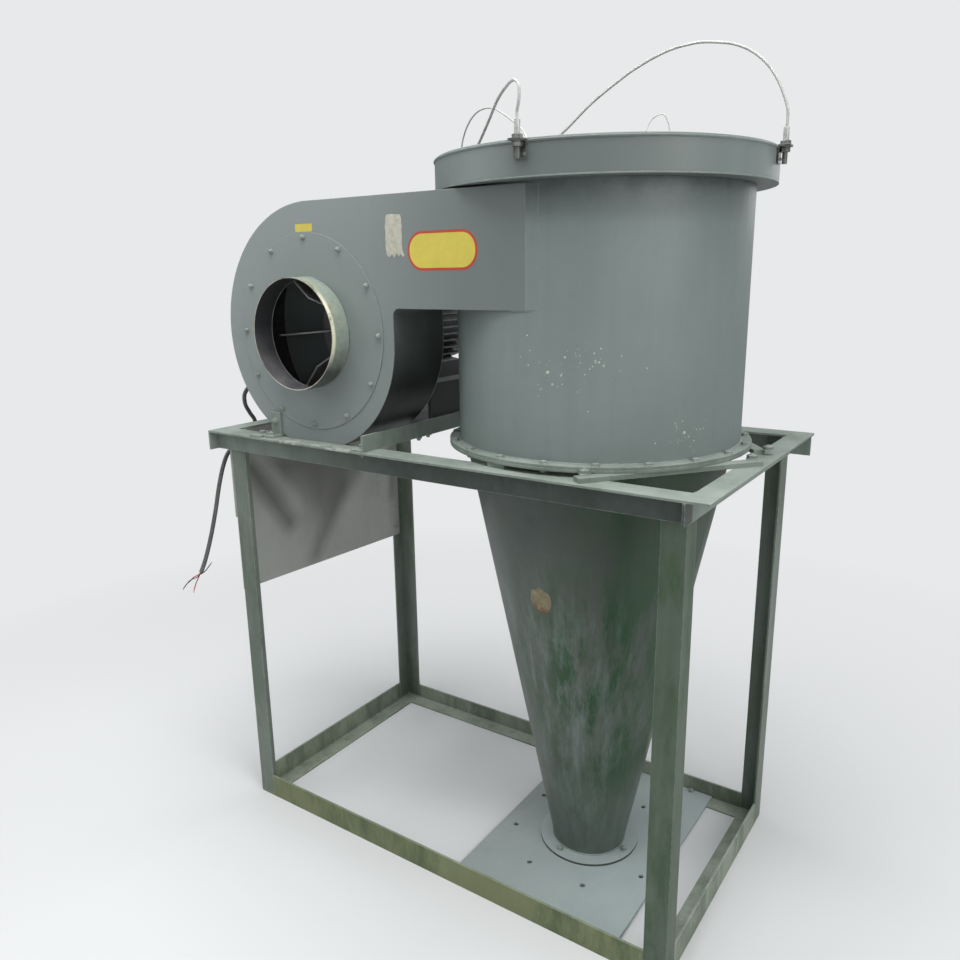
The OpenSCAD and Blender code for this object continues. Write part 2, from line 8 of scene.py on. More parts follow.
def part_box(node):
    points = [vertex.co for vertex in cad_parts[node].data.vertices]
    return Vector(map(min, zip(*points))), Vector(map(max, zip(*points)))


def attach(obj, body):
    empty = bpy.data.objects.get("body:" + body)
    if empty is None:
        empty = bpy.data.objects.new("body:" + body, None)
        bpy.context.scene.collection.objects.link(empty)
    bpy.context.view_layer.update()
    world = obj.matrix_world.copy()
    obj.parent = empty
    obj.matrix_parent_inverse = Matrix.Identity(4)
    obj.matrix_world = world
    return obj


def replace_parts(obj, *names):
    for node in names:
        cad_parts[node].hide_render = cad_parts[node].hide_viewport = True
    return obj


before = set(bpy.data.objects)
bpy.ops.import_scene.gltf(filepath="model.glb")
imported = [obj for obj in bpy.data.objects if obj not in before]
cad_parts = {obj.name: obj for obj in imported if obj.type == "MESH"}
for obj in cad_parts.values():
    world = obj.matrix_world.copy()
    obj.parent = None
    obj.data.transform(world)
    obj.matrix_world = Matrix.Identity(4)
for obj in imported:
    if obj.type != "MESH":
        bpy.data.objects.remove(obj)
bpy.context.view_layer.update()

BODY = "cyclone_unit"
FAN = "fan"
MM = 0.001
UP, DOWN = (0, 0, 1), (0, 0, -1)
FRONT, BACKWARD = (0, -1, 0), (0, 1, 0)
LEFT, RIGHT = (-1, 0, 0), (1, 0, 0)
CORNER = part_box("top_rail_front")[0]


def at(x, y, z):
    """A point in metres, from millimetres at the stand's front left corner."""
    return Vector((CORNER.x + x * MM, CORNER.y + y * MM, z * MM))


def x_at(x):
    return at(x, 0, 0).x


def y_at(y):
    return at(0, y, 0).y


def mm_box(node):
    """Lowest and highest corner of a node, in the same millimetres."""
    lo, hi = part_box(node)
    base = Vector((CORNER.x, CORNER.y, 0))
    return (lo - base) / MM, (hi - base) / MM


def middle(node):
    lo, hi = mm_box(node)
    return (lo + hi) / 2


def half_width(node):
    lo, hi = mm_box(node)
    return (hi.x - lo.x) / 2


DRUM = middle("drum")
DRUM_R = half_width("drum")
FLANGE_TOP = mm_box("drum_flange")[1].z
FLANGE_LOW = mm_box("cone_flange")[0].z
RING_TOP = 1676
RING_R = half_width("roof_plate")
ROOF_TOP = mm_box("roof_plate")[1].z
SHAFT = middle("inlet_plate")
PLATE_FRONT = mm_box("inlet_plate")[0].y
CASING_FRONT = mm_box("scroll_front")[0].y
STAND_TOP = mm_box("top_rail_front")[1].z
RAIL_T = 5
OUTLET_TOP = mm_box("outlet_plate")[1].z
RIM_TOP = mm_box("outlet_flange")[1].z


def add_object(name, data):
    made = bpy.data.objects.new(name, data)
    bpy.context.scene.collection.objects.link(made)
    return made


# Camera at the photograph's angle

CAMERA_PLACE = (1772.48, -1330.57, 1453.17)
CAMERA_TURN, CAMERA_DIP, CAMERA_ROLL = 0.6044, 0.25, -0.0153
LENS = 30.89


def make_camera():
    data = bpy.data.cameras.new("camera")
    data.lens = LENS
    data.clip_end = 60
    cam = add_object("camera", data)
    turn = Matrix.Rotation(CAMERA_TURN, 4, "Z")
    tilt = Matrix.Rotation(math.pi / 2 - CAMERA_DIP, 4, "X")
    roll = Matrix.Rotation(CAMERA_ROLL, 4, "Z")
    cam.matrix_world = Matrix.Translation(at(*CAMERA_PLACE)) @ turn @ tilt @ roll
    bpy.context.scene.camera = cam


make_camera()


# Mesh building

class Shape:
    """Collects closed pieces, in millimetres, into one mesh."""

    def __init__(self):
        self.verts = []
        self.faces = []

    def add(self, verts, faces, matrix=Matrix()):
        start = len(self.verts)
        self.verts += [matrix @ Vector(v) for v in verts]
        self.faces += [tuple(i + start for i in f) for f in faces]
        return self

    def piece(self, name, look, slot, body=BODY, sharp=38):
        mesh = bpy.data.meshes.new(name)
        mesh.from_pydata([at(*v) for v in self.verts], [], self.faces)
        mesh.validate()
        mesh.shade_smooth()
        mesh.set_sharp_from_angle(angle=math.radians(sharp))
        mesh.materials.append(MATERIALS[look])
        obj = add_object(name, mesh)
        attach(obj, body)
        return obj


def circle(n):
    """Cosine and sine of n even steps round a circle."""
    return [(math.cos(2 * math.pi * k / n), math.sin(2 * math.pi * k / n)) for k in range(n)]


def rings_to_solid(rings, closed=False):
    """Joins rings of equal count, with a cap at each end or closed up."""
    n = len(rings[0])
    verts = [v for ring in rings for v in ring]
    faces = []
    count = len(rings) if closed else len(rings) - 1
    for i in range(count):
        a, b = i * n, ((i + 1) % len(rings)) * n
        faces += [(a + k, a + (k + 1) % n, b + (k + 1) % n, b + k) for k in range(n)]
    if not closed:
        faces += [tuple(range(n))[::-1], tuple(range(len(verts) - n, len(verts)))]
    return verts, faces


def turned(profile, n):
    """A turned solid from (radius, height) pairs, bottom first."""
    return rings_to_solid([[(r * c, r * s, z) for c, s in circle(n)] for r, z in profile])


def block(lo, hi):
    x0, y0, z0 = lo
    x1, y1, z1 = hi
    low = [(x0, y0, z0), (x1, y0, z0), (x1, y1, z0), (x0, y1, z0)]
    return rings_to_solid([low, [(x, y, z1) for x, y, _ in low]])


def smooth(points, n):
    """The curve through the points that the model's cables and cord follow."""
    points = [Vector(p) for p in points]
    out = []
    last = len(points) - 1
    for i in range(last):
        a, b = points[max(i - 1, 0)], points[i]
        c, d = points[i + 1], points[min(i + 2, last)]
        for k in range(n):
            t = k / n
            out.append(0.5 * ((2 * b) + (c - a) * t + (2 * a - 5 * b + 4 * c - d) * t * t
                              + (3 * b - a - 3 * c + d) * t * t * t))
    return out + [points[last]]


def frames_along(path):
    """A turning-free pair of side directions at each point of a path."""
    out = []
    side = None
    for i in range(len(path)):
        ahead = (path[min(i + 1, len(path) - 1)] - path[max(i - 1, 0)]).normalized()
        if side is None:
            side = ahead.orthogonal().normalized()
        side = (side - ahead * side.dot(ahead)).normalized()
        out.append((side, ahead.cross(side)))
    return out


def tube(path, radius, sides):
    """A capped tube; radius is a number or a function of the point's number."""
    rings = []
    for i, (u, v) in enumerate(frames_along(path)):
        r = radius(i) if callable(radius) else radius
        rings.append([path[i] + r * (c * u + s * v) for c, s in circle(sides)])
    return rings_to_solid(rings)


def polar(centre_x, centre_y, r, degrees):
    a = math.radians(degrees)
    return centre_x + r * math.cos(a), centre_y + r * math.sin(a)


def facing(point, direction, spin=0):
    """Sets a shape that stands along Z along a direction at a point."""
    turn = Vector(direction).to_track_quat("Z", "Y").to_matrix().to_4x4()
    return Matrix.Translation(Vector(point)) @ turn @ Matrix.Rotation(spin, 4, "Z")


def hexagon(across, low, high):
    """A head or nut between two heights, with chamfered upper corners."""
    r = across / math.sqrt(3)
    cut = 0.12 * across
    return turned([(r, low), (r, high - 0.5 * cut), (r - cut, high)], 6)


def bolt(shape, point, direction, size, spin=0, tail=0):
    """A hexagon head on its washer, and a threaded tail if it has one.

    The size is the head's width across flats, its height and the washer's radius, or 0.
    """
    across, head, washer = size
    m = facing(point, direction, spin)
    base = -0.3
    if washer:
        shape.add(*turned([(washer, base), (washer, 1.3), (washer - 0.6, 1.7)], 24), m)
        base = 1.5
    shape.add(*hexagon(across, base, base + head), m)
    if tail:
        end = base + head + tail
        thread = [(across * 0.29, base), (across * 0.29, end - 1), (across * 0.22, end)]
        shape.add(*turned(thread, 14), m)


# Materials

class Graph:
    """A short way to build the nodes of a material or a world."""

    def __init__(self, owner):
        self.owner = owner
        owner.use_nodes = True
        self.tree = owner.node_tree
        self.tree.nodes.clear()
        self.shared = {}

    def node(self, kind, inputs=None, **settings):
        """Adds a shader node and returns its outputs; an input is a socket or a value."""
        made = self.tree.nodes.new("ShaderNode" + kind)
        for key, value in settings.items():
            setattr(made, key, value)
        for key, value in (inputs or {}).items():
            if isinstance(value, bpy.types.NodeSocket):
                self.tree.links.new(value, made.inputs[key])
            else:
                made.inputs[key].default_value = value
        return made.outputs

    def once(self, kind, inputs=None):
        """The outputs of a node that all of the tree shares."""
        if kind not in self.shared:
            self.shared[kind] = self.node(kind, inputs)
        return self.shared[kind]

    @property
    def coord(self):
        return self.once("TexCoord")["Object"]

    @property
    def xyz(self):
        return self.once("SeparateXYZ", {0: self.coord})

    @property
    def normal(self):
        return self.once("NewGeometry")["Normal"]

    def facing_up(self):
        return self.node("SeparateXYZ", {0: self.normal})[2]

    def noise(self, scale, detail=5, rough=0.7, stretch=(1, 1, 1), shift=(0, 0, 0)):
        place = self.node("Mapping", {
            "Vector": self.coord, "Location": shift, "Scale": stretch})
        return self.node("TexNoise", {
            "Vector": place[0], "Scale": scale, "Detail": detail, "Roughness": rough})[0]

    def ramp(self, value, low, high, out_low=0, out_high=1):
        inputs = {0: value, 1: low, 2: high, 3: out_low, 4: out_high}
        return self.node("MapRange", inputs)[0]

    def math(self, operation, a, b=0):
        return self.node("Math", {0: a, 1: b}, operation=operation)[0]

    def times(self, product, *factors):
        for factor in factors:
            product = self.math("MULTIPLY", product, factor)
        return product

    def vmath(self, operation, a, b=(0, 0, 0), out=0):
        return self.node("VectorMath", {0: a, 1: b}, operation=operation)[out]

    def dot(self, a, b):
        return self.vmath("DOT_PRODUCT", a, b, out=1)

    def mix(self, share, a, b):
        """Blends two colours; a colour is a socket or three numbers up to 255."""
        a, b = (c if isinstance(c, bpy.types.NodeSocket) else rgb(*c) for c in (a, b))
        return self.node("Mix", {0: share, 6: a, 7: b}, data_type="RGBA")[2]

    def bump(self, height, distance, strength=1, normal=None):
        inputs = {"Height": height, "Distance": distance, "Strength": strength}
        if normal is not None:
            inputs["Normal"] = normal
        return self.node("Bump", inputs)[0]

    def finish(self, colour, normal, spots, smooth, rough, **inputs):
        gloss = self.ramp(spots, 0.3, 0.7, smooth, rough)
        inputs |= {"Base Color": colour, "Roughness": gloss, "Normal": normal}
        shader = self.node("BsdfPrincipled", inputs)
        self.node("OutputMaterial", {"Surface": shader[0]})
        return self.owner


def material_graph(name):
    return Graph(bpy.data.materials.new(name))


def rgb(r, g, b):
    """A colour written as it looks on a screen, 0 to 255."""
    return tuple(((c / 255 + 0.055) / 1.055) ** 2.4 if c > 10 else c / 255 / 12.92
                 for c in (r, g, b)) + (1,)


def outside_mask(g, axis_point, along):
    """1 where the surface faces away from an axis and 0 where it faces it."""
    across = tuple(0.0 if abs(c) > 0.5 else 1.0 for c in along)
    away = g.vmath("MULTIPLY", g.vmath("SUBTRACT", g.coord, axis_point), across)
    return g.ramp(g.dot(away, g.normal), -0.01, 0.01)


def edge_mask(g, width):
    """How much an edge is rounded off at a point, and the rounded normal."""
    soft = g.node("Bevel", {"Radius": width}, samples=6)[0]
    return g.math("SUBTRACT", 1, g.dot(soft, g.normal)), soft


def paint(
        name, base, pale, deep, rough=0.5, streak=0.35, under=None, wear=0.5,
        wear_colour=(168, 178, 168), dust=0.35, inner=None, sheet=0, extra=None, shine=0.45):
    """Old brushed or sprayed paint on steel, with streaks, dust and worn edges.

    Under is an older coat's colour and share. Inner is an axis, its direction and the
    colour of the faces towards it. Sheet is the depth of slow waves in thin metal.
    """
    g = material_graph(name)
    broad = g.noise(2.6, 5, 0.62)
    fine = g.noise(46, 6)
    runs = g.noise(1, 5, 0.62, stretch=(26, 26, 1.7))
    colour = g.mix(g.ramp(broad, 0.38, 0.66), base, pale)
    colour = g.mix(g.times(g.ramp(runs, 0.46, 0.72), streak), colour, deep)
    colour = g.mix(g.times(g.ramp(fine, 0.55, 0.75), 0.25), colour, deep)
    colour = g.mix(g.times(g.ramp(fine, 0.45, 0.3), 0.22), colour, pale)
    if under:
        patches = g.noise(3.4, 6, stretch=(2.6, 2.6, 0.8), shift=(3.1, 1.7, 0.4))
        colour = g.mix(g.times(g.ramp(patches, 0.47, 0.6), under[1]), colour, under[0])
    if extra:
        colour = extra(g, colour)
    settled = g.times(g.ramp(g.facing_up(), 0.75, 0.98), g.ramp(g.noise(9, 6), 0.3, 0.62))
    colour = g.mix(g.times(settled, dust), colour, (176, 184, 176))
    worn, soft = edge_mask(g, 0.0022)
    chips = g.times(g.ramp(worn, 0.004, 0.1), g.ramp(g.noise(60, 5, 0.75), 0.36, 0.6))
    colour = g.mix(g.times(chips, wear), colour, wear_colour)
    if inner:
        axis_point, along, tone = inner
        hidden = g.mix(g.ramp(fine, 0.3, 0.7), tone, tuple(0.7 * c for c in tone))
        colour = g.mix(outside_mask(g, axis_point, along), hidden, colour)
    normal = g.bump(g.noise(140, 3, 0.6), 0.00035, 0.5, soft)
    normal = g.bump(g.noise(1, 3, 0.6, stretch=(60, 60, 5)), 0.0005, 0.35, normal)
    if sheet:
        normal = g.bump(g.noise(2.3, 2, 0.4), sheet, 0.6, normal)
    shine = {"Specular IOR Level": shine}
    return g.finish(colour, normal, broad, rough - 0.07, rough + 0.09, **shine)


def metal(name, bright, dull, rough=0.38, metallic=0.85, dirt=(88, 78, 64), dirt_share=0.35,
          scale=80, extra=None):
    """Plated or bare steel with dull spots, a little dirt and bright edges."""
    g = material_graph(name)
    spots = g.noise(scale)
    broad = g.noise(scale / 6, 4, 0.6)
    colour = g.mix(g.ramp(spots, 0.35, 0.65), bright, dull)
    colour = g.mix(g.times(g.ramp(broad, 0.5, 0.68), dirt_share), colour, dirt)
    if extra:
        colour = extra(g, colour)
    worn, soft = edge_mask(g, 0.0008)
    colour = g.mix(g.times(g.ramp(worn, 0.01, 0.15), 0.5), colour, bright)
    normal = g.bump(spots, 0.0002, 0.4, soft)
    return g.finish(colour, normal, broad, rough - 0.08, rough + 0.14, Metallic=metallic)


def plain(name, colour, second, rough, scale=40, depth=0.0002):
    """Plastic, rubber, tape or vinyl with slight mottling."""
    g = material_graph(name)
    spots = g.noise(scale, 5, 0.65)
    mixed = g.mix(g.ramp(spots, 0.35, 0.7), colour, second)
    return g.finish(mixed, g.bump(spots, depth, 0.5), spots, rough - 0.06, rough + 0.08)


AXIS = at(DRUM.x, DRUM.y, 0)
SHAFT_POINT = at(SHAFT.x, 0, SHAFT.z)


def towards(g, x, y, near, far):
    """Rises between two distances in metres from the drum's axis along a direction."""
    return g.ramp(g.dot(g.vmath("SUBTRACT", g.coord, AXIS), (x, y, 0)), near, far)


def drum_ring_shadow(g, colour):
    """Painted shadow of the overhanging ring: a patchy dark band on the drum just under it."""
    patchy = g.ramp(g.noise(14), 0.2, 0.7, 0.35, 0.75)
    return g.mix(g.times(g.ramp(g.xyz[2], 1.53, 1.6), patchy), colour, (46, 51, 51))


def ring_front_shade(g, colour):
    """Painted shade: the ring is darker at its front, between the lugs."""
    return g.mix(towards(g, 0.44, -0.9, 0.27, 0.34), colour, (102, 111, 108))


def casing_light_falloff(g, colour):
    """Painted light and shade on the casing: lighter towards the left and the top, darker towards
    the drum.
    """
    across = g.xyz[0]
    left, right = x_at(60), x_at(800)
    lit_side = g.mix(g.ramp(across, left, right), (136, 145, 143), colour)
    top = g.mix(g.ramp(g.xyz[2], 1.42, 1.6), lit_side, (130, 139, 136))
    both = g.mix(g.ramp(across, left + 0.1, right, 0.7, 0), lit_side, top)
    return g.mix(g.ramp(across, right - 0.25, right, 0, 0.5), both, (96, 105, 102))


def wrapper_soot_and_shade(g, colour):
    """Darker towards the bottom of the scroll's outer strip: painted shade under the duct, with
    oily soot.
    """
    patchy = g.ramp(g.noise(6, 4, 0.6), 0.2, 0.6, 0.75, 1)
    return g.mix(g.times(g.ramp(g.xyz[2], 1.34, 1.2), patchy), colour, (20, 22, 21))


def stroke(g, start, end, width):
    """A soft band on the side panel between two points, each a depth and a height."""
    p, q = at(0, *start), at(0, *end)
    along = (q - p).normalized()
    away = g.vmath("SUBTRACT", g.coord, p)
    run = g.dot(away, along)
    off = g.math("ABSOLUTE", g.dot(away, (0, -along.z, along.y)))
    soft, length = width * MM, (q - p).length
    ends = g.times(g.ramp(run, -soft, 0), g.ramp(run, length + soft, length))
    return g.times(g.ramp(off, soft, 0), ends)


def panel_dent_shading(g, colour):
    """Painted shade and painted highlights on the sheet's upper half: dark bands in its dents,
    light bands on their crests.
    """
    for start, end, width, share, tone in (
            ((190, 935), (500, 880), 130, 0.75, (74, 73, 68)),
            ((333, 860), (333, 780), 110, 0.55, (78, 77, 72)),
            ((84, 950), (205, 765), 46, 0.7, (70, 70, 66)),
            ((420, 830), (292, 640), 46, 0.6, (84, 83, 78)),
            ((650, 960), (640, 740), 24, 0.5, (84, 84, 78)),
            ((112, 975), (228, 822), 30, 0.55, (158, 160, 154)),
            ((548, 850), (424, 722), 52, 0.5, (160, 162, 156)),
            ((110, 690), (240, 660), 70, 0.4, (156, 158, 153))):
        colour = g.mix(g.times(stroke(g, start, end, width), share), colour, tone)
    return colour


def rail_shadow_and_chips(g, colour):
    """Painted shadow under the front rail's flange, and flaked paint and caulk on its top."""
    x, y, z = g.xyz
    # Painted shadow on the web beneath the overhanging flange, deepest towards the right.
    web_shadow = g.times(
        g.ramp(z, 1.054, 1.05), g.ramp(y, y_at(44), y_at(34)), g.ramp(x, x_at(1304), x_at(1296)),
        g.ramp(x, x_at(120), x_at(640), 0.15, 0.94), g.ramp(g.noise(12), 0.2, 0.6, 0.8, 1))
    colour = g.mix(web_shadow, colour, (50, 57, 52))
    top = g.times(
        g.ramp(x, x_at(225), x_at(275)), g.ramp(x, x_at(530), x_at(450)),
        g.ramp(y, y_at(46), y_at(26)), g.ramp(z, 1.05, 1.062))
    pale = g.ramp(g.noise(42, 6, shift=(2, 1, 0)), 0.5, 0.56)
    dark = g.ramp(g.noise(30, 6, shift=(5, 3, 0)), 0.56, 0.6)
    colour = g.mix(g.times(top, pale, 0.85), colour, (198, 203, 192))
    return g.mix(g.times(top, dark, 0.8), colour, (62, 66, 56))


def plate_dust(g, colour):
    """The outlet plate is duller towards the middle of the stand."""
    lo = mm_box("outlet_plate")[0].x
    return g.mix(g.ramp(g.xyz[0], x_at(lo + 260), x_at(lo), 0, 0.6), colour, (126, 132, 131))


def flange_edge_shade(g, colour):
    """Painted shade on a flange's edge and underside, the faces that don't face up."""
    return g.mix(g.ramp(g.facing_up(), 0.6, 0.2), colour, (66, 72, 68))


def lug_shine(g, colour):
    """The sleeve is bright, the bracket below it dull and sooty."""
    top = RING_TOP * MM
    bracket = g.mix(g.ramp(g.noise(60, 4, 0.6), 0.4, 0.62), (98, 102, 96), (52, 52, 48))
    return g.mix(g.ramp(g.xyz[2], top + 0.004, top + 0.007), bracket, colour)


def cone_shade_and_paint(g, colour):
    """Painted shadow of the drum at the cone's top, older green paint on its right, pale runs in
    front, and painted shade on its far right side.
    """
    height = g.xyz[2]
    # Painted shadow of the drum over the cone's top.
    cloud = g.ramp(g.noise(5, 5, 0.6, shift=(1, 4, 2)), 0.25, 0.7, 0.5, 0.95)
    colour = g.mix(g.times(g.ramp(height, 0.66, 0.95), cloud), colour, (58, 65, 61))
    left = towards(g, 0.85, -0.5, 0.02, -0.1)
    colour = g.mix(g.times(left, g.ramp(height, 0.62, 0.3), 0.6), colour, (92, 97, 78))
    streaks = g.noise(1, 6, stretch=(17, 17, 3), shift=(2, 5, 1))
    green = g.times(
        towards(g, 0.86, -0.5, 0, 0.14), g.ramp(streaks, 0.4, 0.56),
        g.ramp(height, 0.86, 0.7), g.ramp(height, 0.06, 0.4), 0.95)
    colour = g.mix(green, colour, (26, 68, 31))
    pale = g.noise(1, 7, 0.74, stretch=(34, 34, 3), shift=(7, 1, 3))
    front = towards(g, 0.2, -0.98, 0.06, 0.16)
    runs = g.times(g.ramp(pale, 0.46, 0.64), front, g.ramp(height, 0.9, 0.62), 0.7)
    colour = g.mix(runs, colour, (116, 129, 126))
    foot = g.times(g.ramp(height, 0.3, 0.12), g.ramp(pale, 0.46, 0.66, 0.1, 0.9))
    colour = g.mix(foot, colour, (98, 114, 106))
    # Painted shade on the cone's far right side, in the older green paint's dark tones.
    far = g.times(towards(g, 0.94, -0.34, 0.1, 0.24), 0.8)
    return g.mix(far, colour, g.mix(g.ramp(streaks, 0.38, 0.56), (46, 56, 48), (26, 60, 30)))


def collar_material():
    """Paint scraped to bright metal near the rim, painted shade on the outside below the shaft,
    and steel inside with painted shade high up and a painted highlight low down.
    """
    g = material_graph("collar_worn_and_shaded")
    across, depth, height = g.xyz
    fine = g.noise(70, 6)
    broad = g.noise(14)
    rim = y_at(mm_box("inlet_collar")[0].y)
    near = g.math("ADD", g.ramp(depth, rim + 0.03, rim), g.ramp(broad, 0.3, 0.7, -0.5, 0.4))
    painted = g.mix(g.ramp(fine, 0.4, 0.65), (126, 138, 130), (146, 155, 138))
    scuffed = g.mix(g.ramp(fine, 0.4, 0.6), (172, 174, 152), (120, 116, 88))
    outer = g.mix(g.ramp(near, 0.45, 0.85), painted, scuffed)
    side = g.ramp(across, SHAFT_POINT.x + 0.08, SHAFT_POINT.x + 0.11)
    band = g.times(side, g.ramp(depth, rim + 0.012, rim + 0.007))
    patchy = g.ramp(g.noise(36, 6), 0.34, 0.46)
    outer = g.mix(g.times(band, patchy), outer, (224, 220, 196))
    # Painted shade on the outside's lower part, below the shaft.
    shade = g.math("ADD", height, g.ramp(broad, 0.3, 0.7, -0.02, 0.02))
    outer = g.mix(g.ramp(shade, SHAFT_POINT.z - 0.02, SHAFT_POINT.z - 0.09), outer, (62, 66, 62))
    # Painted shade in the upper inside and a painted highlight in the lower inside.
    low = g.ramp(height, SHAFT_POINT.z + 0.02, SHAFT_POINT.z - 0.12)
    lit = g.mix(g.ramp(broad, 0.4, 0.65), (112, 111, 112), (76, 76, 78))
    inner = g.mix(low, (48, 48, 50), lit)
    colour = g.mix(outside_mask(g, SHAFT_POINT, BACKWARD), inner, outer)
    front = g.ramp(g.dot(g.normal, FRONT), 0.7, 0.9)
    bare = g.times(front, g.ramp(g.noise(9, 4, 0.6), 0.4, 0.56))
    colour = g.mix(front, colour, (96, 99, 92))
    colour = g.mix(bare, colour, (206, 201, 184))
    normal = g.bump(fine, 0.0004, 0.5, edge_mask(g, 0.0012)[1])
    return g.finish(colour, normal, fine, 0.3, 0.5, Metallic=g.times(bare, 0.6))


def crust_material():
    """A hardened tan filler, rusty over its lower half."""
    g = material_graph("patch_crust")
    spots = g.noise(60, 6)
    low = g.math("ADD", g.ramp(g.xyz[2], 0.745, 0.715), g.ramp(spots, 0.3, 0.7, -0.4, 0.4))
    tan = g.mix(g.ramp(spots, 0.35, 0.65), (142, 132, 104), (112, 104, 82))
    rust = g.mix(g.ramp(spots, 0.4, 0.6), (92, 68, 48), (122, 84, 54))
    colour = g.mix(g.ramp(low, 0.3, 0.75), tan, rust)
    return g.finish(colour, g.bump(spots, 0.0012, 0.8), spots, 0.75, 0.95)


GREY_COAT = ((118, 128, 125), (124, 134, 131), (104, 113, 109))
ROUND_SHEET = dict(streak=0.22, sheet=0.003, inner=(AXIS, UP, (78, 82, 78)))

MATERIALS = {
    "paint": paint("casing_paint", *GREY_COAT, rough=0.44, **ROUND_SHEET),
    "ring": paint("ring_paint", *GREY_COAT, rough=0.44, extra=ring_front_shade, **ROUND_SHEET),
    "drum": paint(
        "drum_paint", (116, 127, 124), (122, 133, 130), (103, 113, 108), rough=0.42,
        extra=drum_ring_shadow, **ROUND_SHEET),
    "casing": paint(
        "blower_paint", (114, 123, 120), (121, 130, 127), (104, 112, 107), rough=0.4, streak=0.16,
        sheet=0.002, extra=casing_light_falloff),
    # The scroll's outer strip has the casing's paint made darker: partly dirt, partly painted
    # shade under the duct.
    "wrapper": paint(
        "wrapper_dirty_shaded_paint", (78, 84, 81), (86, 92, 89), (60, 62, 58), streak=0.2, sheet=0.003,
        inner=(SHAFT_POINT, BACKWARD, (72, 71, 69)), extra=wrapper_soot_and_shade, shine=0.2),
    "cone": paint(
        "cone_paint", (86, 94, 86), (95, 104, 97), (66, 76, 66), rough=0.4, streak=0.4,
        sheet=0.004, inner=(AXIS, UP, (80, 80, 74)), wear=0.3, extra=cone_shade_and_paint, shine=0.36),
    "frame": paint(
        "frame_paint", (122, 133, 125), (132, 143, 135), (98, 109, 99), streak=0.3,
        under=((78, 94, 78), 0.35), wear=0.75, dust=0.45, extra=rail_shadow_and_chips),
    "leg": paint(
        "leg_paint", (104, 113, 104), (116, 124, 116), (80, 91, 79), streak=0.4,
        under=((60, 80, 58), 0.45), wear=0.8, dust=0.4),
    "leg_dark": paint(
        "dark_leg_paint", (74, 88, 72), (86, 99, 84), (52, 70, 50), streak=0.5,
        under=((44, 70, 42), 0.7), wear=0.85, wear_colour=(140, 152, 140), dust=0.4),
    "low": paint(
        "low_frame_paint", (108, 115, 78), (120, 128, 93), (82, 92, 60), streak=0.2,
        under=((58, 76, 46), 0.65), wear=0.8, dust=0.4),
    "low_back": paint(
        "low_back_paint", (130, 138, 120), (142, 150, 136), (98, 108, 92), streak=0.2,
        under=((64, 84, 62), 0.6), wear=0.8, dust=0.4),
    "plate": paint(
        "outlet_plate_paint", (157, 170, 170), (165, 178, 178), (132, 144, 142), streak=0.1,
        dust=0.25, wear=0.4, extra=plate_dust),
    "rim": paint(
        "outlet_flange_paint", (152, 165, 165), (160, 173, 173), (128, 140, 138), streak=0.1,
        dust=0.25, wear=0.6, extra=flange_edge_shade),
    "panel": paint(
        "panel_paint", (150, 152, 146), (158, 160, 154), (126, 126, 118), rough=0.3, streak=0.2,
        wear=0.3, dust=0.2, extra=panel_dent_shading),
    "motor": paint(
        "motor_paint", (50, 53, 53), (62, 65, 65), (30, 32, 32), rough=0.42, streak=0.2,
        wear=0.95, wear_colour=(168, 171, 168), dust=0.4),
    # Painted shade: the pedestal's paint is made near black for the shadow it stands in under the
    # motor.
    "dark": paint(
        "pedestal_shadow_paint", (52, 57, 55), (60, 65, 63), (38, 41, 39), streak=0.3, wear=0.3,
        dust=0.25),
    "bolt": paint(
        "bolt_paint", (112, 122, 116), (128, 139, 131), (78, 86, 78), wear=0.9,
        wear_colour=(176, 180, 170), dust=0.4),
    "collar": collar_material(),
    "crust": crust_material(),
    # Painted light: the wheel's steel is paler than its dusty dark steel, to lift the shaded
    # inside of the fan.
    "wheel": metal(
        "wheel_steel", (176, 174, 170), (150, 148, 144), rough=0.5, metallic=0,
        dirt=(120, 117, 112), dirt_share=0.6, scale=50),
    "worn": metal(
        "worn_steel", (244, 244, 238), (226, 226, 220), rough=0.36, metallic=0,
        dirt=(180, 178, 170), dirt_share=0.3, scale=120),
    "lug": metal(
        "lug_steel", (196, 198, 194), (160, 162, 158), rough=0.42, metallic=0.25,
        dirt=(120, 118, 110), dirt_share=0.3, extra=lug_shine),
    "zinc": metal("zinc_plate", (160, 162, 158), (108, 109, 104), metallic=0.75),
    "cable": metal(
        "cable_steel", (206, 208, 204), (176, 178, 172), rough=0.5, metallic=0.15,
        dirt=(140, 138, 130), dirt_share=0.25, scale=60),
    "copper": metal("copper_wire", (196, 120, 84), (140, 84, 60), metallic=0.9, scale=200),
    "cord": plain("cord_jacket", (86, 87, 86), (70, 71, 70), 0.5),
    "red": plain("red_wire", (176, 44, 46), (140, 32, 36), 0.42, 90),
    "black": plain("black_wire", (40, 40, 40), (58, 56, 54), 0.45, 90),
    "tape": plain("masking_tape", (192, 191, 176), (160, 157, 142), 0.7, 60, 0.0006),
    "yellow": plain("yellow_vinyl", (206, 190, 80), (196, 180, 72), 0.4, 30),
    "red_vinyl": plain("red_vinyl", (190, 62, 48), (174, 54, 44), 0.4, 30),
    "speck": plain("white_splash", (190, 193, 178), (160, 164, 150), 0.55, 120),
}


# The loose cord, first

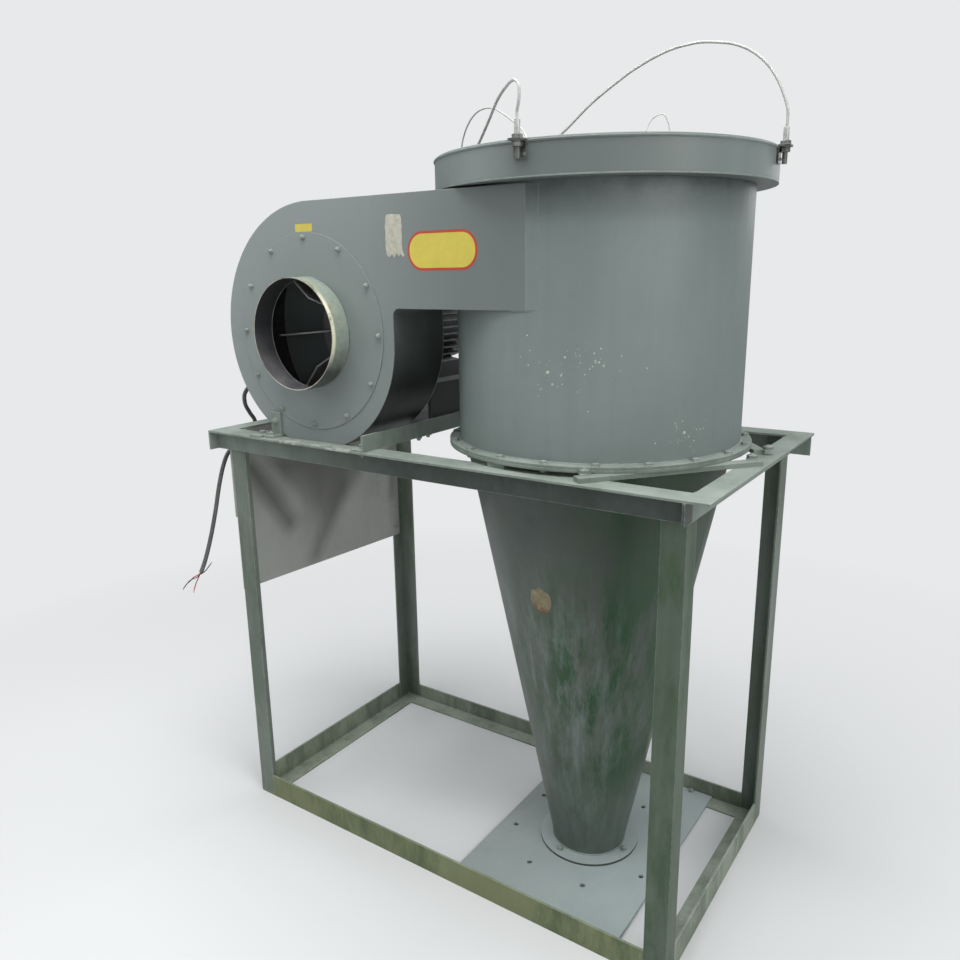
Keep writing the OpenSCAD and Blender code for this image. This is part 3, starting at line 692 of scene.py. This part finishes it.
CORD_ROUTE = [
    (202, 370, 1256.5), (202, 369, 1238), (190, 350, 1207), (130, 290, 1192), (60, 215, 1182),
    (12, 160, 1168), (-7, 137, 1142), (-9, 134, 1112), (-9, 147, 1085), (-10, 163, 1060),
    (-13, 156, 1036), (-14, 126, 1016), (-13, 92, 1003), (-11, 64, 986), (-9, 42, 952),
    (-8, 22, 900), (-8, 6, 845), (-8, -16, 780), (-8, -40, 722), (-8, -60, 686)]
CORD_R = 5.5
WIRE_R, TIP_R = 1.3, 0.8
CORD_WIRES = (
    ("cord_red_wires", "red", WIRE_R, (
        [(-9, -57, 688), (-11, -64, 678), (-18, -70, 660), (-23, -76, 640)],
        [(-7, -58, 688), (-14, -66, 680), (-28, -70, 672), (-38, -76, 660)])),
    ("cord_dark_wires", "black", WIRE_R, (
        [(-8, -57, 690), (-14, -66, 676), (-34, -78, 664), (-50, -88, 643)],
        [(-6, -57, 688), (-5, -63, 684), (0, -52, 690), (4, -36, 706)])),
    ("cord_wire_tips", "copper", TIP_R, (
        [(-23, -75.8, 641), (-24, -77, 632)], [(-38, -76, 660), (-42, -78, 656)],
        [(-50, -88, 643), (-52, -89, 638)], [(4, -36, 706), (6, -33, 711)])))


def make_cord():
    path = smooth(CORD_ROUTE, 10)
    jacket = Shape().add(*tube(path, CORD_R, 16)).piece("power_cord_jacket", "cord", "cord")
    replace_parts(jacket, "power_cord")
    for name, look, r, routes in CORD_WIRES:
        shape = Shape()
        for route in routes:
            shape.add(*tube(smooth(route, 8), r, 8))
        shape.piece(name, look, "cord")


make_cord()


# Lifting cables, as twisted wire rope, from the middle of the ring's upper edge

CABLE_R, WIRE_ROPE_R, THIN_R = 3, 2, 1.6
CABLE_REST = ROOF_TOP - RING_TOP + 3.7
WIRE_REST = ROOF_TOP - RING_TOP + 2.7
LUG_OUT = 13
LUG_TURNS = (-87.5, 5, 180, 90)
STRANDS = 6
LAY = 9.0


def in_radii(points):
    return [tuple(c * RING_R for c in p) for p in points]


def lying(*points):
    """A cable's end on the roof, as two numbers in radii and a height in mm."""
    return [(x * RING_R, y * RING_R, z) for x, y, z in points]


def outside(turn, out, z):
    """A point beyond the ring's radius at a turn round it."""
    return (*polar(0, 0, RING_R + out, turn), z)


CABLE_FRONT = [
    outside(-87.5, LUG_OUT, 32.3), outside(-87.5, 13.5, 46), *in_radii([
        (0.069, -1.058, 0.17), (0.073, -1.061, 0.216), (0.058, -1.049, 0.249),
        (0.018, -1.016, 0.273), (-0.028, -0.978, 0.277), (-0.09, -0.927, 0.267),
        (-0.163, -0.866, 0.248), (-0.224, -0.816, 0.22), (-0.336, -0.723, 0.151),
        (-0.472, -0.612, 0.073), (-0.6, -0.506, 0.012), (-0.72, -0.407, -0.046)]),
    *lying((-0.82, -0.325, CABLE_REST + 14), (-0.87, -0.26, CABLE_REST + 2),
           (-0.885, -0.15, CABLE_REST))]
CABLE_RIGHT = [
    outside(5, LUG_OUT, 32.3), outside(5, 13.5, 46), *in_radii([
        (1.031, 0.09, 0.175), (1.014, 0.089, 0.23), (0.982, 0.088, 0.305),
        (0.935, 0.086, 0.382), (0.883, 0.083, 0.44), (0.825, 0.08, 0.486),
        (0.767, 0.077, 0.518), (0.694, 0.074, 0.544), (0.563, 0.067, 0.567),
        (0.474, 0.063, 0.567), (0.383, 0.058, 0.556), (0.291, 0.054, 0.531),
        (0.198, 0.049, 0.495), (0.102, 0.045, 0.449), (-0.096, 0.035, 0.33),
        (-0.27, 0.026, 0.195), (-0.42, 0.018, 0.1), (-0.57, 0.012, 0.024),
        (-0.7, 0.007, -0.034)]),
    *lying((-0.808, 0, CABLE_REST + 27), (-0.886, 0, CABLE_REST + 9), (-0.947, 0, CABLE_REST))]
CABLE_LEFT = [
    (-RING_R - LUG_OUT, 0, 32.3), (-RING_R - 12.5, -2, 43), *in_radii([
        (-1.02, -0.013, 0.157), (-0.997, -0.032, 0.197), (-0.942, -0.076, 0.247),
        (-0.88, -0.125, 0.281), (-0.811, -0.181, 0.302), (-0.726, -0.249, 0.313),
        (-0.637, -0.321, 0.309), (-0.543, -0.396, 0.294), (-0.451, -0.47, 0.266),
        (-0.374, -0.532, 0.233), (-0.232, -0.646, 0.164), (-0.114, -0.741, 0.099),
        (-0.044, -0.797, 0.036), (-0.01, -0.825, -0.03)]),
    *lying((0.03, -0.85, WIRE_REST + 13), (0.11, -0.87, WIRE_REST))]
CABLE_BACK = [(x, RING_R + out, z) for x, out, z in (
    (0, LUG_OUT, 32.3), (0, 13, 50), (-3, 12, 100), (-11, 10, 129), (-23, 8, 142),
    (-42, 6, 136), (-53, 2, 123), (-62, -8, 90), (-66, -16, 40), (-66, -20, 0),
    (-60, -26, WIRE_REST + 16), (-40, -30, WIRE_REST))]


def rope(name, route, r):
    """A core with strands wound round it; LAY is the turn's length in diameters."""
    centre = Vector((DRUM.x, DRUM.y, RING_TOP))
    path = smooth([Vector(p) + centre for p in route], 24)
    shape = Shape().add(*tube(path, 0.84 * r, 10))
    sides = frames_along(path)
    done = [0]
    for a, b in zip(path, path[1:]):
        done.append(done[-1] + (b - a).length)
    for strand in range(STRANDS):
        line = []
        for p, (u, v), run in zip(path, sides, done):
            angle = 2 * math.pi * (strand / STRANDS + run / (LAY * 2 * r))
            line.append(p + 0.66 * r * (math.cos(angle) * u + math.sin(angle) * v))
        shape.add(*tube(line, 0.28 * r, 6))
    end = path[-1]
    ahead = (end - path[-4]).normalized()
    shape.add(*turned([(1.15 * r, -14), (1.45 * r, -12), (1.45 * r, -1), (1.1 * r, 0)], 14),
              facing(end + Vector((0, 0, 0.4 * r)), ahead))
    return shape.piece(name, "cable", "cable")


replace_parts(rope("front_cable", CABLE_FRONT, CABLE_R), "cable_front")
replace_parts(rope("right_cable", CABLE_RIGHT, CABLE_R), "cable_right")
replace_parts(rope("left_cable", CABLE_LEFT, WIRE_ROPE_R), "cable_left")
rope("back_cable", CABLE_BACK, THIN_R)


# The ring's lip, and the lugs that hold the cables

def ring_lip():
    """The ring's upper edge is rolled outwards a little."""
    section = [
        (RING_R - 1, RING_TOP - 5.2), (RING_R + 1.6, RING_TOP - 4.4),
        (RING_R + 2.6, RING_TOP - 2.2), (RING_R + 1.9, RING_TOP - 0.3),
        (RING_R - 0.4, RING_TOP + 0.3), (RING_R - 1, RING_TOP - 2)]
    rings = [[(DRUM.x + r * c, DRUM.y + r * s, z) for r, z in section] for c, s in circle(160)]
    Shape().add(*rings_to_solid(rings, closed=True)).piece("ring_lip", "ring", "paint")


def on_ring(turn, out, y=0, z=0):
    """The place of a piece on the ring's outside at a turn round it."""
    ring = Matrix.Translation((DRUM.x, DRUM.y, RING_TOP))
    return (ring @ Matrix.Rotation(math.radians(turn), 4, "Z")
            @ Matrix.Translation((RING_R + out, y, z)))


def lug_details():
    """The hardware of all four lugs, and the fourth lug at the back."""
    nuts = Shape()
    for turn in LUG_TURNS:
        stud = on_ring(turn, LUG_OUT)
        for low, high, across in ((-12.5, -4.5, 16.5), (0.8, 8.6, 17.4)):
            nuts.add(*hexagon(across, low, high), stud)
        nuts.add(*turned([(9.6, -4.6), (9.6, -3)], 20), stud)
        for y in (-8, 8):
            nuts.add(*turned([(3.6, 0), (3.4, 1.4), (1.8, 2.4)], 12),
                     on_ring(turn, 3.6, y, -24) @ Matrix.Rotation(math.pi / 2, 4, "Y"))
    nuts.piece("lug_nuts", "zinc", "zinc")
    back = Shape()
    back.add(*block((0, -13, -3), (25, 13, 1)), on_ring(90, 0))
    back.add(*block((0, -13, -33), (4, 13, -3)), on_ring(90, 0))
    stud = on_ring(90, LUG_OUT)
    back.add(*turned([(5, -34), (5, -2)], 20), stud)
    back.add(*turned([(5.5, 7), (5.5, 31), (3, 33)], 20), stud)
    back.piece("lug_back", "lug", "zinc")


ring_lip()
lug_details()


# Bolts, by width across flats, head height and washer radius

FLANGE_BOLT, FLANGE_NUT = (14, 4.6, 8.6), (12, 5.5, 0)
INLET_BOLT = (10, 4, 6)
BAR_BOLT, BAR_NUT = (19, 8, 12), (19, 9, 0)
PLATE_BOLT, RIM_BOLT = (13, 5.5, 8), (13, 6, 8)
RAIL_BOLT, RAIL_NUT = (16, 6.5, 10), (16, 8, 10)
BRACKET_BOLT = (14, 6, 9)
MOTOR_SCREW = (8, 3, 0)
PANEL_BOLT, PANEL_NUT = (10, 4, 7), (10, 4.5, 6.5)


def flange_bolts():
    """Nuts hang below the flanges, but not where a corner bar or a pad carries them."""
    shape = Shape()
    draw = random.Random(4)
    for k in range(20):
        angle = 8 + 18 * k
        x, y = polar(DRUM.x, DRUM.y, DRUM_R + 13, angle)
        bolt(shape, (x, y, FLANGE_TOP), UP, FLANGE_BOLT, draw.uniform(0, 1))
        turn = (angle + 180) % 360 - 180
        on_bar = abs(abs(turn) - 38) < 26
        on_pad = abs(abs(turn) - 102) < 8
        if not on_bar and not on_pad:
            bolt(shape, (x, y, FLANGE_LOW), DOWN, FLANGE_NUT, draw.uniform(0, 1), 1)
    shape.piece("flange_bolts", "bolt", "frame_paint")


def inlet_bolts():
    shape = Shape()
    draw = random.Random(5)
    for k in range(12):
        x, z = polar(SHAFT.x, SHAFT.z, 214, 30 * k)
        bolt(shape, (x, PLATE_FRONT, z), FRONT, INLET_BOLT, draw.uniform(0, 1), 3)
    shape.piece("inlet_bolts", "bolt", "paint")


def frame_bolts():
    shape = Shape()
    under = STAND_TOP - RAIL_T
    for x, y in ((1065.9, 46.6), (1298.4, 335.4), (1302.4, 435.2), (1059, 690)):
        bolt(shape, (x, y, FLANGE_LOW), UP, BAR_BOLT, 0.3, 2)
        bolt(shape, (x, y, under), DOWN, BAR_NUT, 0.5, 5)
    for x, y in ((778, 683), (1093.6, 683), (778, 47), (1093.6, 47)):
        bolt(shape, (x, y, OUTLET_TOP), UP, PLATE_BOLT, 0.7)
    left, right = middle("cross_rail_left").x, mm_box("cross_rail_right")[1].x - 24
    for x, y in ((left, 28), (left, 702), (right, 28), (right, 232), (right, 702)):
        bolt(shape, (x, y, STAND_TOP + RAIL_T), UP, RAIL_BOLT, 0.2)
        bolt(shape, (x, y, under if y in (28, 702) else STAND_TOP), DOWN, RAIL_NUT, 0.9, 5)
    lo, hi = mm_box("motor_pedestal")
    for x in (lo.x + 22, hi.x - 22):
        for y in (lo.y + 16, hi.y - 16):
            bolt(shape, (x, y, STAND_TOP + 11), UP, RAIL_BOLT, 0.6)
            bolt(shape, (x, y, STAND_TOP), DOWN, RAIL_NUT, 0.4, 5)
    lo, hi = mm_box("foot_bracket")
    mid = (lo.x + hi.x) / 2
    bolt(shape, (mid, hi.y - 6, hi.z - 22), FRONT, BRACKET_BOLT, 0.4, 4)
    bolt(shape, (mid, lo.y + 12, lo.z + 5), UP, BRACKET_BOLT, 0.1, 3)
    shape.piece("frame_bolts", "bolt", "frame_paint")


def cone_bolts():
    shape = Shape()
    for angle in (-106, -8, 74, 172):
        x, y = polar(DRUM.x, DRUM.y, 107, angle)
        bolt(shape, (x, y, RIM_TOP), UP, RIM_BOLT, angle, 3)
    shape.piece("cone_bolts", "bolt", "plate_paint")


def motor_bolts():
    """Screws of the terminal box's lid and round the fan cover."""
    shape = Shape()
    lo, hi = mm_box("terminal_box")
    gland = 14
    for y in (lo.y + 9, hi.y - 9):
        for z in (lo.z + gland + 9, hi.z - 9):
            bolt(shape, (lo.x, y, z), LEFT, MOTOR_SCREW, y)
    cover = middle("fan_cover")
    start = mm_box("fan_cover")[0].y
    for k in range(4):
        x, z = polar(cover.x, cover.z, half_width("fan_cover"), 45 + 90 * k)
        bolt(shape, (x, start + 8, z), (x - cover.x, 0, z - cover.z), MOTOR_SCREW, 0.2)
    shape.piece("motor_bolts", "zinc", "zinc")


def panel_bolts():
    """Screws through the side panel and its two legs."""
    shape = Shape()
    outer = mm_box("leg_front_left")[0].x
    for z in (640, 830, 990):
        bolt(shape, (outer - 4.4, 64, z), LEFT, PANEL_BOLT, z)
        bolt(shape, (outer + 5, 64, z), RIGHT, PANEL_NUT, z, 3)
        bolt(shape, (outer + 8.3, 659, z - 5), RIGHT, PANEL_BOLT, z)
        bolt(shape, (outer, 659, z - 5), LEFT, PANEL_NUT, z, 3)
    shape.piece("panel_bolts", "bolt", "frame_paint")


flange_bolts()
inlet_bolts()
frame_bolts()
cone_bolts()
motor_bolts()
panel_bolts()


# Worn edges on the wheel's blades

BLADES = 8
BLADE_TURN = 5
BLADE_D = 70
EYE_R = 119


def blade_edges():
    """Bright worn front edges of the blades, and the hub's nut."""
    base = mm_box("fan_wheel")[0].y + BLADE_D
    route = [(EYE_R / 2 + 6, 12), (EYE_R, BLADE_D), (EYE_R + 3, BLADE_D + 0.1),
             (half_width("fan_wheel") - 6, BLADE_D)]
    shape = Shape()
    for k in range(BLADES):
        line = []
        for r, d in route:
            x, z = polar(SHAFT.x, SHAFT.z, r, BLADE_TURN + 360 / BLADES * k)
            line.append(Vector((x, base - d, z)))
        shape.add(*tube(line, 2.25, 8))
    shape.piece("blade_edges", "worn", "wheel_steel", body=FAN)
    nut = Shape().add(*hexagon(24, 0, 14), facing((SHAFT.x, base - 40, SHAFT.z), FRONT))
    nut.piece("hub_nut", "zinc", "wheel_steel", body=FAN)


blade_edges()


# Weld beads

DUCT_H = 233


def bead(shape, path, r):
    """An uneven weld bead along a path."""
    def size(i):
        return r * (0.86 + 0.28 * noise.noise(path[i] * 0.11) + 0.1 * math.sin(i * 1.9))
    shape.add(*tube(path, size, 8))


def ring_bead(shape, centre, u, v, radius, r):
    """The same as a ring round a centre."""
    steps = int(2 * math.pi * radius / 6)
    up = u.cross(v)
    rings = []
    for i, (cos, sin) in enumerate(circle(steps)):
        p = centre + radius * (cos * u + sin * v)
        out = (p - centre).normalized()
        size = r * (0.88 + 0.25 * noise.noise(p * 0.12) + 0.1 * math.sin(i * 2.1))
        rings.append([p + size * (c * out + s * up) for c, s in circle(8)])
    shape.add(*rings_to_solid(rings, closed=True))


def straight(a, b, step=5):
    a, b = Vector(a), Vector(b)
    n = max(2, int((b - a).length / step))
    return [a + (b - a) * (i / n) for i in range(n + 1)]


def casing_welds():
    x, y, z = Vector(RIGHT), Vector(BACKWARD), Vector(UP)
    shape = Shape()
    ring_bead(shape, Vector((DRUM.x, DRUM.y, FLANGE_TOP)), x, y, DRUM_R, 2.6)
    ring_bead(shape, Vector((DRUM.x, DRUM.y, RIM_TOP)), x, y, 92, 3)
    ring_bead(shape, Vector((SHAFT.x, PLATE_FRONT, SHAFT.z)), x, z, 127, 1.8)
    ring_bead(shape, Vector((DRUM.x, DRUM.y, ROOF_TOP)), x, y, 140, 2.2)
    shape.piece("casing_welds", "paint", "paint")


def duct_seam():
    """Filler from the casing's front sheet out to the drum, and a bead below."""
    seam_x, _, top = mm_box("scroll_front")[1]
    front = CASING_FRONT + 0.05
    rings = []
    for k in range(13):
        z = top - DUCT_H + 1 + (DUCT_H - 2) * k / 12
        edge = 26 + 3 * noise.noise((0.2, 0.3, z * 0.02))
        meet = DRUM.y - math.sqrt(DRUM_R ** 2 - edge ** 2) - 0.05
        rings.append([
            (seam_x - 0.5, front, z), (seam_x + 8, front + 0.5, z), (seam_x + 18, meet - 0.6, z),
            (seam_x + edge, meet, z), (seam_x + edge, meet + 3, z), (seam_x - 0.5, meet + 3, z)])
    shape = Shape().add(*rings_to_solid(rings))
    low = top - DUCT_H - 0.6
    bead(shape, straight((seam_x - 34, CASING_FRONT + 2, low),
                         (seam_x + 8, CASING_FRONT + 2, low), 3), 1.8)
    shape.piece("duct_seam", "drum", "paint", sharp=20)


def stand_welds():
    shape = Shape()
    for name, sx, sy in (
            ("leg_front_left", 1, 1), ("leg_front_right", -1, 1), ("leg_back_left", 1, -1),
            ("leg_back_right", -1, -1)):
        lo, hi = mm_box(name)
        corner = (lo.x if sx > 0 else hi.x, lo.y if sy > 0 else hi.y)

        def seam(start, end, r):
            ends = [(corner[0] + sx * x, corner[1] + sy * y, z) for x, y, z in (start, end)]
            bead(shape, straight(*ends), r)

        for level in (STAND_TOP - RAIL_T, RAIL_T):
            seam((6, 5, level), (48, 5, level), 2.4)
            seam((5, 6, level), (5, 48, level), 2.4)
        seam((50, 1.5, 8), (50, 1.5, 60), 2)
        seam((1.5, 50, 8), (1.5, 50, 60), 2)
    shape.piece("stand_welds", "frame", "frame_paint")


casing_welds()
duct_seam()
stand_welds()


# The wavy side panel

PANEL_T = 1.5
DENT_DEPTH = 11.0
# Share of the depth, distance from the front edge, height, two half widths, lean
DENTS = (
    (1, 170, 900, 60, 150, 0.55), (-1, 290, 900, 80, 130, 0.4), (1, 430, 850, 55, 150, -0.45),
    (-0.6, 540, 880, 50, 120, 0), (0.4, 330, 740, 120, 60, 0))


def clamp(value):
    return min(1, max(0, value))


def side_panel():
    """The sheet runs from outside the front leg to inside the back leg, with soft dents."""
    lo, hi = mm_box("side_panel")
    leg = mm_box("leg_front_left")[0]
    y0, y1 = leg.y + 0.2, hi.y
    x0, x1 = leg.x - 1.7, hi.x - 1.7
    rows, columns = 44, 60

    def wave(y, z):
        free = (clamp((y - y0 - 50) / 60) * clamp((y1 - 30 - y) / 60)
                * clamp((hi.z + 30 - z) / 60) * clamp((z - lo.z - 20) / 160))
        high = 0.0
        for share, dent_y, dent_z, wide, tall, lean in DENTS:
            u = ((y - y0 - dent_y) + lean * (z - dent_z)) / wide
            v = (z - dent_z) / tall
            high += share * math.exp(-u * u - v * v)
        return free * DENT_DEPTH * high

    front, back = [], []
    for i in range(rows + 1):
        for j in range(columns + 1):
            y = y0 + (y1 - y0) * j / columns
            bottom = lo.z + 9 - 18 * j / columns
            z = hi.z + (bottom - hi.z) * i / rows
            x = x0 + (x1 - x0) * j / columns + wave(y, z)
            front.append((x + PANEL_T / 2, y, z))
            back.append((x - PANEL_T / 2, y, z))
    w, count = columns + 1, len(front)
    faces = []
    for i in range(rows):
        for j in range(columns):
            a = i * w + j
            faces.append((a, a + 1, a + 1 + w, a + w))
            faces.append((count + a, count + a + w, count + a + 1 + w, count + a + 1))
    rim = (list(range(columns)) + [i * w + columns for i in range(rows)]
           + [rows * w + j for j in range(columns, 0, -1)] + [i * w for i in range(rows, 0, -1)])
    for a, b in zip(rim, rim[1:] + rim[:1]):
        faces.append((b, a, count + a, count + b))
    shape = Shape().add(front + back, faces)
    shape.add(*block((lo.x, y0, STAND_TOP - 235), (lo.x + 6, y0 + 3, STAND_TOP - 50)))
    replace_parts(shape.piece("sheet_panel", "panel", "paint"), "side_panel")


side_panel()


# Blank tape and labels on the casing

def flat_patch(name, outline, thick, look, crease=0):
    """A thin piece on the casing's front from an outline of (x, z) points."""
    cx, cz = (sum(c) / len(outline) for c in zip(*outline))
    front = CASING_FRONT - thick
    rings = [[(x, CASING_FRONT + 0.3, z) for x, z in outline], [(x, front, z) for x, z in outline]]
    steps = 6
    for s in range(1, steps):
        k = 1 - s / steps
        ring = []
        for x, z in outline:
            px, pz = cx + (x - cx) * k, cz + (z - cz) * k
            lift = crease * (0.5 + 0.5 * noise.noise((px * 0.09, 7, pz * 0.05)))
            ring.append((px, front - lift, pz))
        rings.append(ring)
    Shape().add(*rings_to_solid(rings)).piece(name, look, "paint", sharp=50)


def rounded_box(x0, x1, z0, z1, r, n=10):
    corners = (
        (x1 - r, z1 - r, 0), (x0 + r, z1 - r, 90), (x0 + r, z0 + r, 180), (x1 - r, z0 + r, 270))
    return [
        polar(cx, cz, r, start + 90 * k / n) for cx, cz, start in corners for k in range(n + 1)]


def labels():
    flat_patch("oval_label_rim", rounded_box(649, 824, 1453, 1531, 37), 0.25, "red_vinyl")
    flat_patch("oval_label", rounded_box(654, 819, 1458, 1526, 32), 0.45, "yellow")
    flat_patch("yellow_strip", rounded_box(322, 375, 1542, 1559, 1.5, 3), 0.25, "yellow")
    draw = random.Random(11)
    top = [(594, 1567), (606, 1568), (618, 1567), (631, 1566)]
    right = [(634 + draw.uniform(-1, 1), 1566 - 8 * k) for k in range(1, 10)]
    torn = [(640, 1484), (634, 1481), (630, 1488), (624, 1482), (619, 1489), (612, 1480),
            (606, 1487), (599, 1481), (592, 1486)]
    left = [(590 + draw.uniform(-1, 1), 1494 + 8 * k) for k in range(9)]
    flat_patch("masking_tape", (top + right + torn + left)[::-1], 0.4, "tape", crease=1.6)


labels()


# Splashes on the drum, and the patch on the cone

# Count, and the middle and spread of the drops' turn, height and radius
SPRAYS = ((44, -74, 8, 1276, 30, 0.5, 0.5), (24, -31, 5, 1134, 16, 0.5, 0.6))
DROPS = (
    (-89.5, 1329, 1.7), (-88.4, 1300, 1.3), (-89, 1272, 1.8), (-81.5, 1260, 3.4),
    (-63, 1306, 1.7), (-62, 1274, 1.9), (-56, 1292, 1.5), (-47, 1268, 1.5), (-31.6, 1138, 3.6),
    (-84, 1226, 1.6), (-85, 1212, 1.3), (-26, 1142, 1.6), (-27, 1120, 1.5), (-67, 1186, 1.4),
    (-43, 1122, 1.8))
CONE_LOW_R = 90
PATCH_ANGLE = -92.6
PATCH_Z = 749


def splashes():
    shape = Shape()
    draw = random.Random(21)

    def drop(angle, z, r):
        out = Vector((*polar(0, 0, 1, angle), 0))
        place = Vector((DRUM.x, DRUM.y, z)) + out * (DRUM_R - 0.15)
        m = facing(place, out, draw.uniform(0, 6))
        n = 9
        rim = [r * draw.uniform(0.75, 1.25) for _ in range(n)]
        rings = [[(share * edge * c, share * edge * s, height)
                  for edge, (c, s) in zip(rim, circle(n))]
                 for share, height in ((1, 0), (0.9, 0.35), (0.45, 0.6))]
        shape.add(*rings_to_solid(rings), m)

    for count, turn, turn_by, z, z_by, r, r_by in SPRAYS:
        for _ in range(count):
            drop(draw.gauss(turn, turn_by), draw.gauss(z, z_by), abs(draw.gauss(r, r_by)) + 0.5)
    for angle, z, r in DROPS:
        drop(angle, z, r)
    shape.piece("paint_splashes", "speck", "paint")


def cone_patch():
    lo, hi = mm_box("cone")
    share = (PATCH_Z - lo.z) / (hi.z - lo.z)
    r = CONE_LOW_R + (half_width("cone") - CONE_LOW_R) * share
    centre = Vector((*polar(DRUM.x, DRUM.y, r, PATCH_ANGLE), PATCH_Z))
    away = Vector((centre.x - DRUM.x, centre.y - DRUM.y, 0)).normalized()
    slope = Vector((away.x, away.y, -0.2)).normalized()
    steps = 9
    rings = []
    for s in range(steps):
        k = 1 - s / (steps - 1) * 0.98
        ring = []
        for cos, sin in circle(40):
            edge = 1 + 0.16 * noise.noise((cos * 1.7, sin * 1.7, 3))
            px, py = 27 * k * edge * cos, 33 * k * edge * sin
            rise = 3.2 * math.sqrt(max(0, 1 - k * k)) - 1.2
            rise += 1.4 * (1 - k) * noise.noise((px * 0.12, py * 0.12, 1))
            ring.append((px, py, rise))
        rings.append(ring)
    shape = Shape().add(*rings_to_solid(rings), facing(centre, slope))
    shape.piece("cone_patch", "crust", "paint")


splashes()
cone_patch()


# Finishes of the pieces that stay as the model has them

LOOKS = {
    "frame": "top_rail_front top_rail_back top_rail_left top_rail_right cross_rail_right "
             "cross_rail_left corner_bar_front corner_bar_back flange_pads foot_bracket "
             "drum_flange cone_flange",
    "leg": "leg_front_left leg_back_left leg_back_right",
    "leg_dark": "leg_front_right",
    "low": "bottom_rail_front",
    "low_back": "bottom_rail_back bottom_rail_left bottom_rail_right",
    "plate": "outlet_plate",
    "rim": "outlet_flange",
    "cone": "cone",
    "paint": "roof_plate vortex_tube",
    "ring": "top_ring",
    "drum": "drum",
    "casing": "scroll_front scroll_back inlet_plate",
    "wrapper": "scroll_wrapper",
    "motor": "motor fan_cover terminal_box",
    "wheel": "fan_wheel",
    "lug": "lug_front lug_right lug_left",
    "dark": "motor_pedestal",
    "collar": "inlet_collar",
}


def dress():
    for look, nodes in LOOKS.items():
        for name in nodes.split():
            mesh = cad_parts[name].data
            mesh.materials.clear()
            mesh.materials.append(MATERIALS[look])


dress()


# Floor, backdrop and light

BACKDROP = rgb(232, 233, 234)
FLOOR_SIZE = 14
SKY = (0.9, 0.95, 1, 1)
SKY_STRENGTH = 0.3
# Name, place, target, width in metres and power in watts
LIGHTS = (
    ("overhead", (0.1, -0.6, 4.2), (0, 0, 1), 3, 174),
    ("left_wall", (-3, -2.6, 2.9), (0, 0, 1.25), 2.4, 38),
    ("front_fill", (2.7, -3, 1.6), (-0.3, -0.3, 1.3), 0.8, 9),
    ("right_wall", (4.5, -1.4, 2.8), (0.1, 0, 1), 2.6, 84),
    ("back_fill", (1.4, 4.6, 3), (0, 0, 1), 2.6, 40))


def floor_material():
    """Matt and pale; beyond the shadow the camera sees it fade to the backdrop."""
    g = material_graph("pale_floor")
    away = g.vmath("LENGTH", g.vmath("MULTIPLY", g.coord, (1, 1, 0)), out=1)
    seen = g.once("LightPath")["Is Camera Ray"]
    lit = g.node("BsdfDiffuse", {"Color": rgb(214, 215, 215)})
    even = g.node("Emission", {"Color": BACKDROP, "Strength": 1.0})
    share = g.times(g.ramp(away, 1, 2.6), seen)
    mixed = g.node("MixShader", {0: share, 1: lit[0], 2: even[0]})
    g.node("OutputMaterial", {"Surface": mixed[0]})
    return g.owner


def make_stage():
    s = FLOOR_SIZE
    mesh = bpy.data.meshes.new("floor")
    mesh.from_pydata([(-s, -s, 0), (s, -s, 0), (s, s, 0), (-s, s, 0)], [], [(0, 1, 2, 3)])
    mesh.materials.append(floor_material())
    add_object("floor", mesh)


def make_world():
    """A dim sky for the light, which the camera sees as the plain backdrop."""
    bpy.context.scene.world = bpy.data.worlds.new("studio")
    g = Graph(bpy.context.scene.world)
    path = g.once("LightPath")
    seen = g.math("MAXIMUM", path["Is Camera Ray"], path["Is Transmission Ray"])
    dim = g.node("Background", {0: SKY, 1: SKY_STRENGTH})
    even = g.node("Background", {0: BACKDROP, 1: 1.0})
    mixed = g.node("MixShader", {0: seen, 1: dim[0], 2: even[0]})
    g.node("OutputWorld", {"Surface": mixed[0]})


def make_lights():
    for name, place, target, size, power in LIGHTS:
        data = bpy.data.lights.new(name, "AREA")
        data.size = size
        data.energy = power
        lamp = add_object(name, data)
        lamp.location = place
        aim = Vector(target) - Vector(place)
        lamp.rotation_euler = aim.to_track_quat("-Z", "Y").to_euler()


make_stage()
make_world()
make_lights()
bpy.context.scene.view_settings.view_transform = "Standard"
